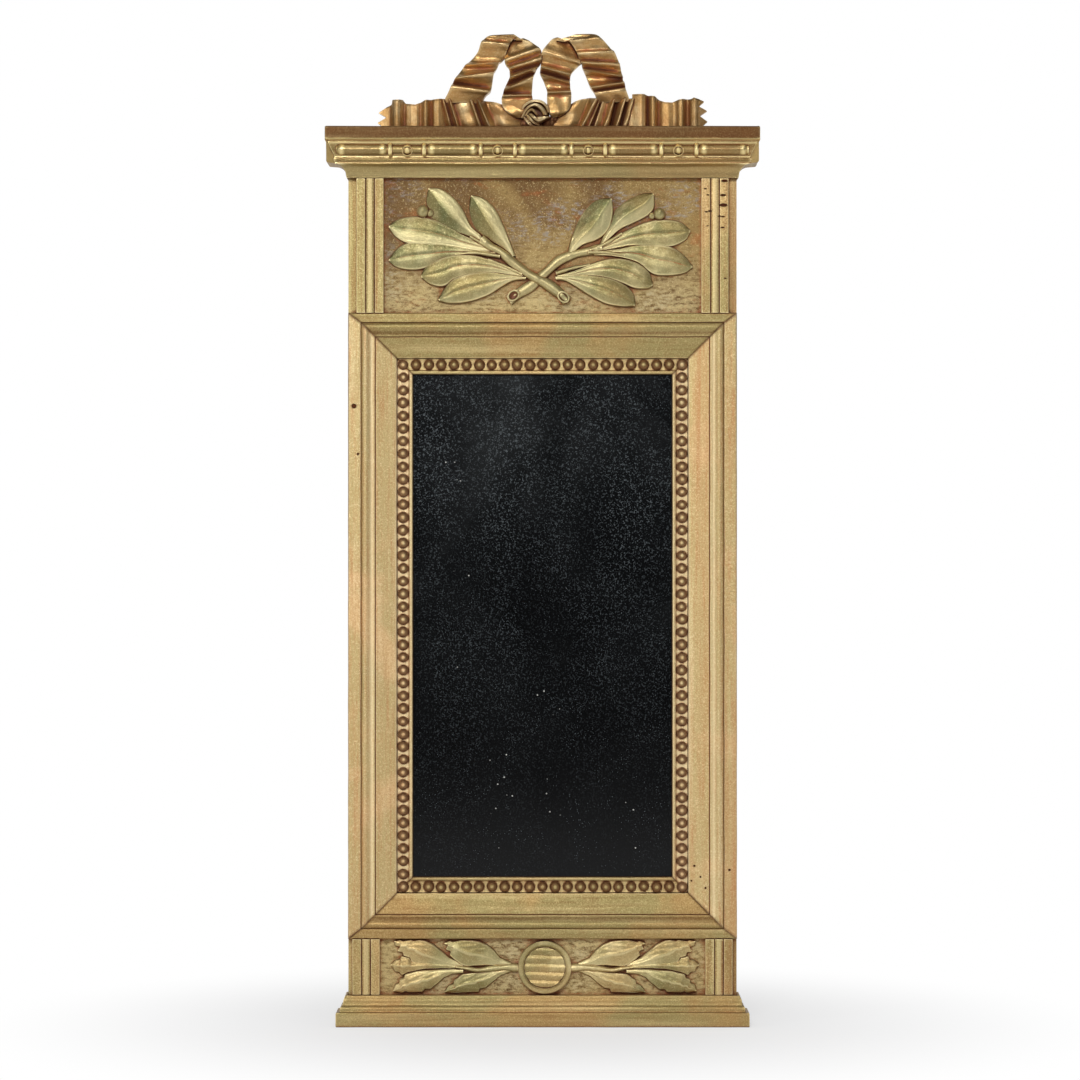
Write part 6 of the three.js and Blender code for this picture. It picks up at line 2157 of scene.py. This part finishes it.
    def carve(
        self, draft: Draft, x: np.ndarray, height: np.ndarray, z: np.ndarray, wear_and_light: Marks
    ) -> None:
        """Adds a carved front, in millimetres from the crest's foot and flat back."""
        front = stack(x * MM, self.back + height * MM, self.foot + z * MM)
        draft.relief(front, self.back, wear_and_light)

    def strip(
        self, draft: Draft, folds: Sequence[Fold], crown: float = 1.2, highlight_and_clean: float = 0.0
    ) -> None:
        """Lofts the ribbon through its folds.

        Args:
            draft: The crest piece.
            folds: The folds in order.
            crown: How much lower its two edges lie.
            highlight_and_clean: The painted highlight along its middle; below 0, painted shade
                there instead.
        """
        shares = np.linspace(0, 1, 6 * (len(folds) - 1) + 1)
        x1, z1, x2, z2, high = spline(folds, shares).T[:, :, None]
        t = np.linspace(0, 1, 19)
        x = x1 * (1 - t) + x2 * t
        z = np.maximum(z1 * (1 - t) + z2 * t, 0)
        edge = np.abs(2 * t - 1)
        ripple = 0.5 * np.sin(t * 9 + z1 * 0.2) * (1 - edge)
        height = self.level + self.contrast * (high - self.level) - crown * edge**6 + ripple
        self.carve(draft, x, height, z, -highlight_and_clean * (1 - edge**3) * np.ones_like(x))

    def add_end(
        self, side: Side, folds: Outline, rim: Outline, top: Outline, seam: Outline
    ) -> None:
        """Carves one long end of the ribbon: upright pleats with a toothed end.

        Args:
            side: The side.
            folds: Its pleats.
            rim: Its toothed rim.
            top: Its upper outline.
            seam: Its seam at the bow.
        """
        up = np.linspace(0, 1, 40)[:, None]
        u = np.linspace(0, 1, 150)
        start, end = top[0][0], top[-1][0]
        nominal = start + (end - start) * u
        z = up * read(nominal, top)
        edges = (rim, seam) if side is Side.LEFT else (seam, rim)
        left, right = (read(z, edge) for edge in edges)
        x = nominal + (left - start) * np.maximum(1 - u * 8, 0)
        x = x + (right - end) * np.maximum(1 - (1 - u) * 8, 0)
        height = sum(read(x + shift, folds) for shift in np.linspace(-1, 1, 5)) / 5
        height = height - 0.8 * np.clip((up - 0.92) * 12, 0, 1)
        draft = Draft()
        # The long ends are a little browner: painted shade that damps their highlights.
        self.carve(draft, x, height, z, 0.16)
        draft.piece(f"toothed_end_{side.word}", GILT_RIBBON, f"ribbon_tail_{side.word}", crisp=46)

    def add_knot(self) -> None:
        """Carves the knot: laps of ribbon with painted highlights, wound over a hollow painted dark
        as shade, with one pointed end.
        """
        draft = Draft()
        for x, z, r, high in self.knot_seat:
            steps = [(0, 0), (0.6 * r, -0.4), (0.9 * r, -1.8), (r, -4), (r, -high)]
            centre = (x * MM, -self.back, self.foot + z * MM)
            profile = near((0, high * MM), *steps)
            # The hollow under the laps is painted dark as shade.
            draft.turned(profile, centre, 32, wear_and_light=[0.9, 0.9, 0.7, 0.6, 0.6])
        for folds in self.knot:
            # Painted highlights along the laps.
            self.strip(draft, folds, 2.6, 0.7)
        draft.piece("wound_knot", GILT_RIBBON, "bow_knot", crisp=60)

    def build(self) -> None:
        """Carves the whole crest."""
        bow = Draft()
        # The tails get a little painted shade along their middles, which damps their highlights.
        for folds in (self.left_tail, self.right_tail):
            self.strip(bow, folds, highlight_and_clean=-0.16)
        for folds in (self.left_inner, self.right_inner):
            self.strip(bow, folds, 0.8)
        for folds in (self.left_outer, self.right_outer):
            self.strip(bow, folds, 1.0)
        bow.piece("pleated_bow", GILT_RIBBON, "ribbon_bow", crisp=46, hollow_gain=3.5)
        self.add_knot()
        self.add_end(Side.LEFT, self.left_end, self.left_rim, self.left_top, self.left_seam)
        self.add_end(Side.RIGHT, self.right_end, self.right_rim, self.right_top, self.right_seam)


# ---------------------------------------------------------------------------- studio
@dataclass
class Studio:
    """The camera, the lamps, the pale floor and the white surroundings."""

    distance: float = 4.0
    view_width: float = 1.08
    sensor: float = 36.0
    aim: Pair = (-2.5 * MM, -314 * MM)
    floor_size: float = 6.0
    pale: Colour = (0.86, 0.86, 0.87, 1.0)
    white: Colour = (1.0, 1.0, 1.0, 1.0)
    lamps: tuple[tuple[str, Point, Pair, float], ...] = (
        ("front_softbox", (-0.45, -3.3, 1.0), (0.9, 0.7), 46),
        ("left_softbox", (-2.4, -1.9, 0.2), (0.7, 2.2), 17),
        ("right_softbox", (2.5, -1.8, 0.0), (0.6, 2.2), 12),
        ("top_softbox", (0.0, -1.6, 2.3), (1.8, 0.7), 12),
    )

    def add_camera(self) -> None:
        """Sets the camera straight in front, far away."""
        data = bpy.data.cameras.new("front_camera")
        data.sensor_width = self.sensor
        data.lens = self.sensor * (self.distance - PLACES.pilaster_front) / self.view_width
        data.clip_end = 50
        camera = bpy.data.objects.new("front_camera", data)
        camera.location = (self.aim[0], -self.distance, self.aim[1])
        camera.rotation_euler = (math.pi / 2, 0, 0)
        bpy.context.scene.collection.objects.link(camera)
        bpy.context.scene.camera = camera

    def add_lamp(self, name: str, place: Point, size: Pair, power: float) -> None:
        """Hangs a soft lamp, of a size and a power in watts, that looks at the mirror's middle.

        Args:
            name: The lamp's name.
            place: Where it hangs.
            size: Its width and height.
            power: Its power in watts.
        """
        data = bpy.data.lights.new(name, "AREA")
        data.shape = "RECTANGLE"
        data.size, data.size_y = size
        data.energy = power
        lamp = bpy.data.objects.new(name, data)
        lamp.location = place
        way = Vector((0, 0, self.aim[1])) - Vector(place)
        lamp.rotation_euler = way.to_track_quat("-Z", "Y").to_euler()
        bpy.context.scene.collection.objects.link(lamp)

    def add_floor(self) -> None:
        """Lays a pale floor that turns into the white surroundings further out."""
        half, height = self.floor_size / 2, PLACES.plinth_bottom - 0.2 * MM
        signs = ((-1, -1), (1, -1), (1, 1), (-1, 1))
        mesh = bpy.data.meshes.new("floor")
        mesh.from_pydata([(half * x, half * y, height) for x, y in signs], [], [(0, 1, 2, 3)])
        floor = bpy.data.objects.new("floor", mesh)
        bpy.context.scene.collection.objects.link(floor)
        material = bpy.data.materials.new("floor")
        g = Graph(material)
        pale = g.node("ShaderNodeBsdfDiffuse", None, {"Color": self.pale})
        glow = g.node("ShaderNodeEmission", None, {"Color": self.white, "Strength": 1.0})
        away = g.vector("LENGTH", g.place((1, 1, 0)), (0, 0, 0), "Value")
        far = g.band(away, 0.1, 0.6) * 0.45 + 0.55
        camera, glossy, transmission = g.rays()
        seen = (far * camera.at_least(glossy).at_least(transmission)).clipped()
        shader = g.node("ShaderNodeMixShader", None, {0: seen, 1: pale, 2: glow})
        g.node("ShaderNodeOutputMaterial", None, {"Surface": shader})
        mesh.materials.append(material)

    def add_surroundings(self) -> None:
        """Makes the surroundings white behind the mirror and dim on the side of the camera."""
        world = bpy.data.worlds.new("surroundings")
        bpy.context.scene.world = world
        g = Graph(world)
        camera, glossy, transmission = g.rays()
        ahead = g.part(g.node("ShaderNodeTexCoord", output="Generated"), "Y")
        mirrored = glossy * (g.band(ahead, 0.3, 0.85) * 0.9 + 0.035)
        seen = camera.at_least(transmission).at_least(mirrored)
        others = (1 - camera) * (1 - glossy) * 0.3
        inputs = {"Color": self.white, "Strength": seen + others}
        shader = g.node("ShaderNodeBackground", None, inputs)
        g.node("ShaderNodeOutputWorld", None, {"Surface": shader})

    def build(self) -> None:
        """Sets up the studio."""
        self.add_camera()
        self.add_floor()
        self.add_surroundings()
        for lamp in self.lamps:
            self.add_lamp(*lamp)
        bpy.context.scene.view_settings.view_transform = "Standard"


def main() -> None:
    """Builds the sub-assemblies in order."""
    logging.basicConfig(level=logging.INFO, format="%(message)s")
    assemblies = (
        Studio, Carcass, Grounds, MirrorFrame, Pilasters, Cornice,
        Plinth, Laurel, BaseOrnament, RibbonCrest, Hangers,
    )
    for assembly in assemblies:
        assembly().build()


if __name__ == "__main__":
    main()
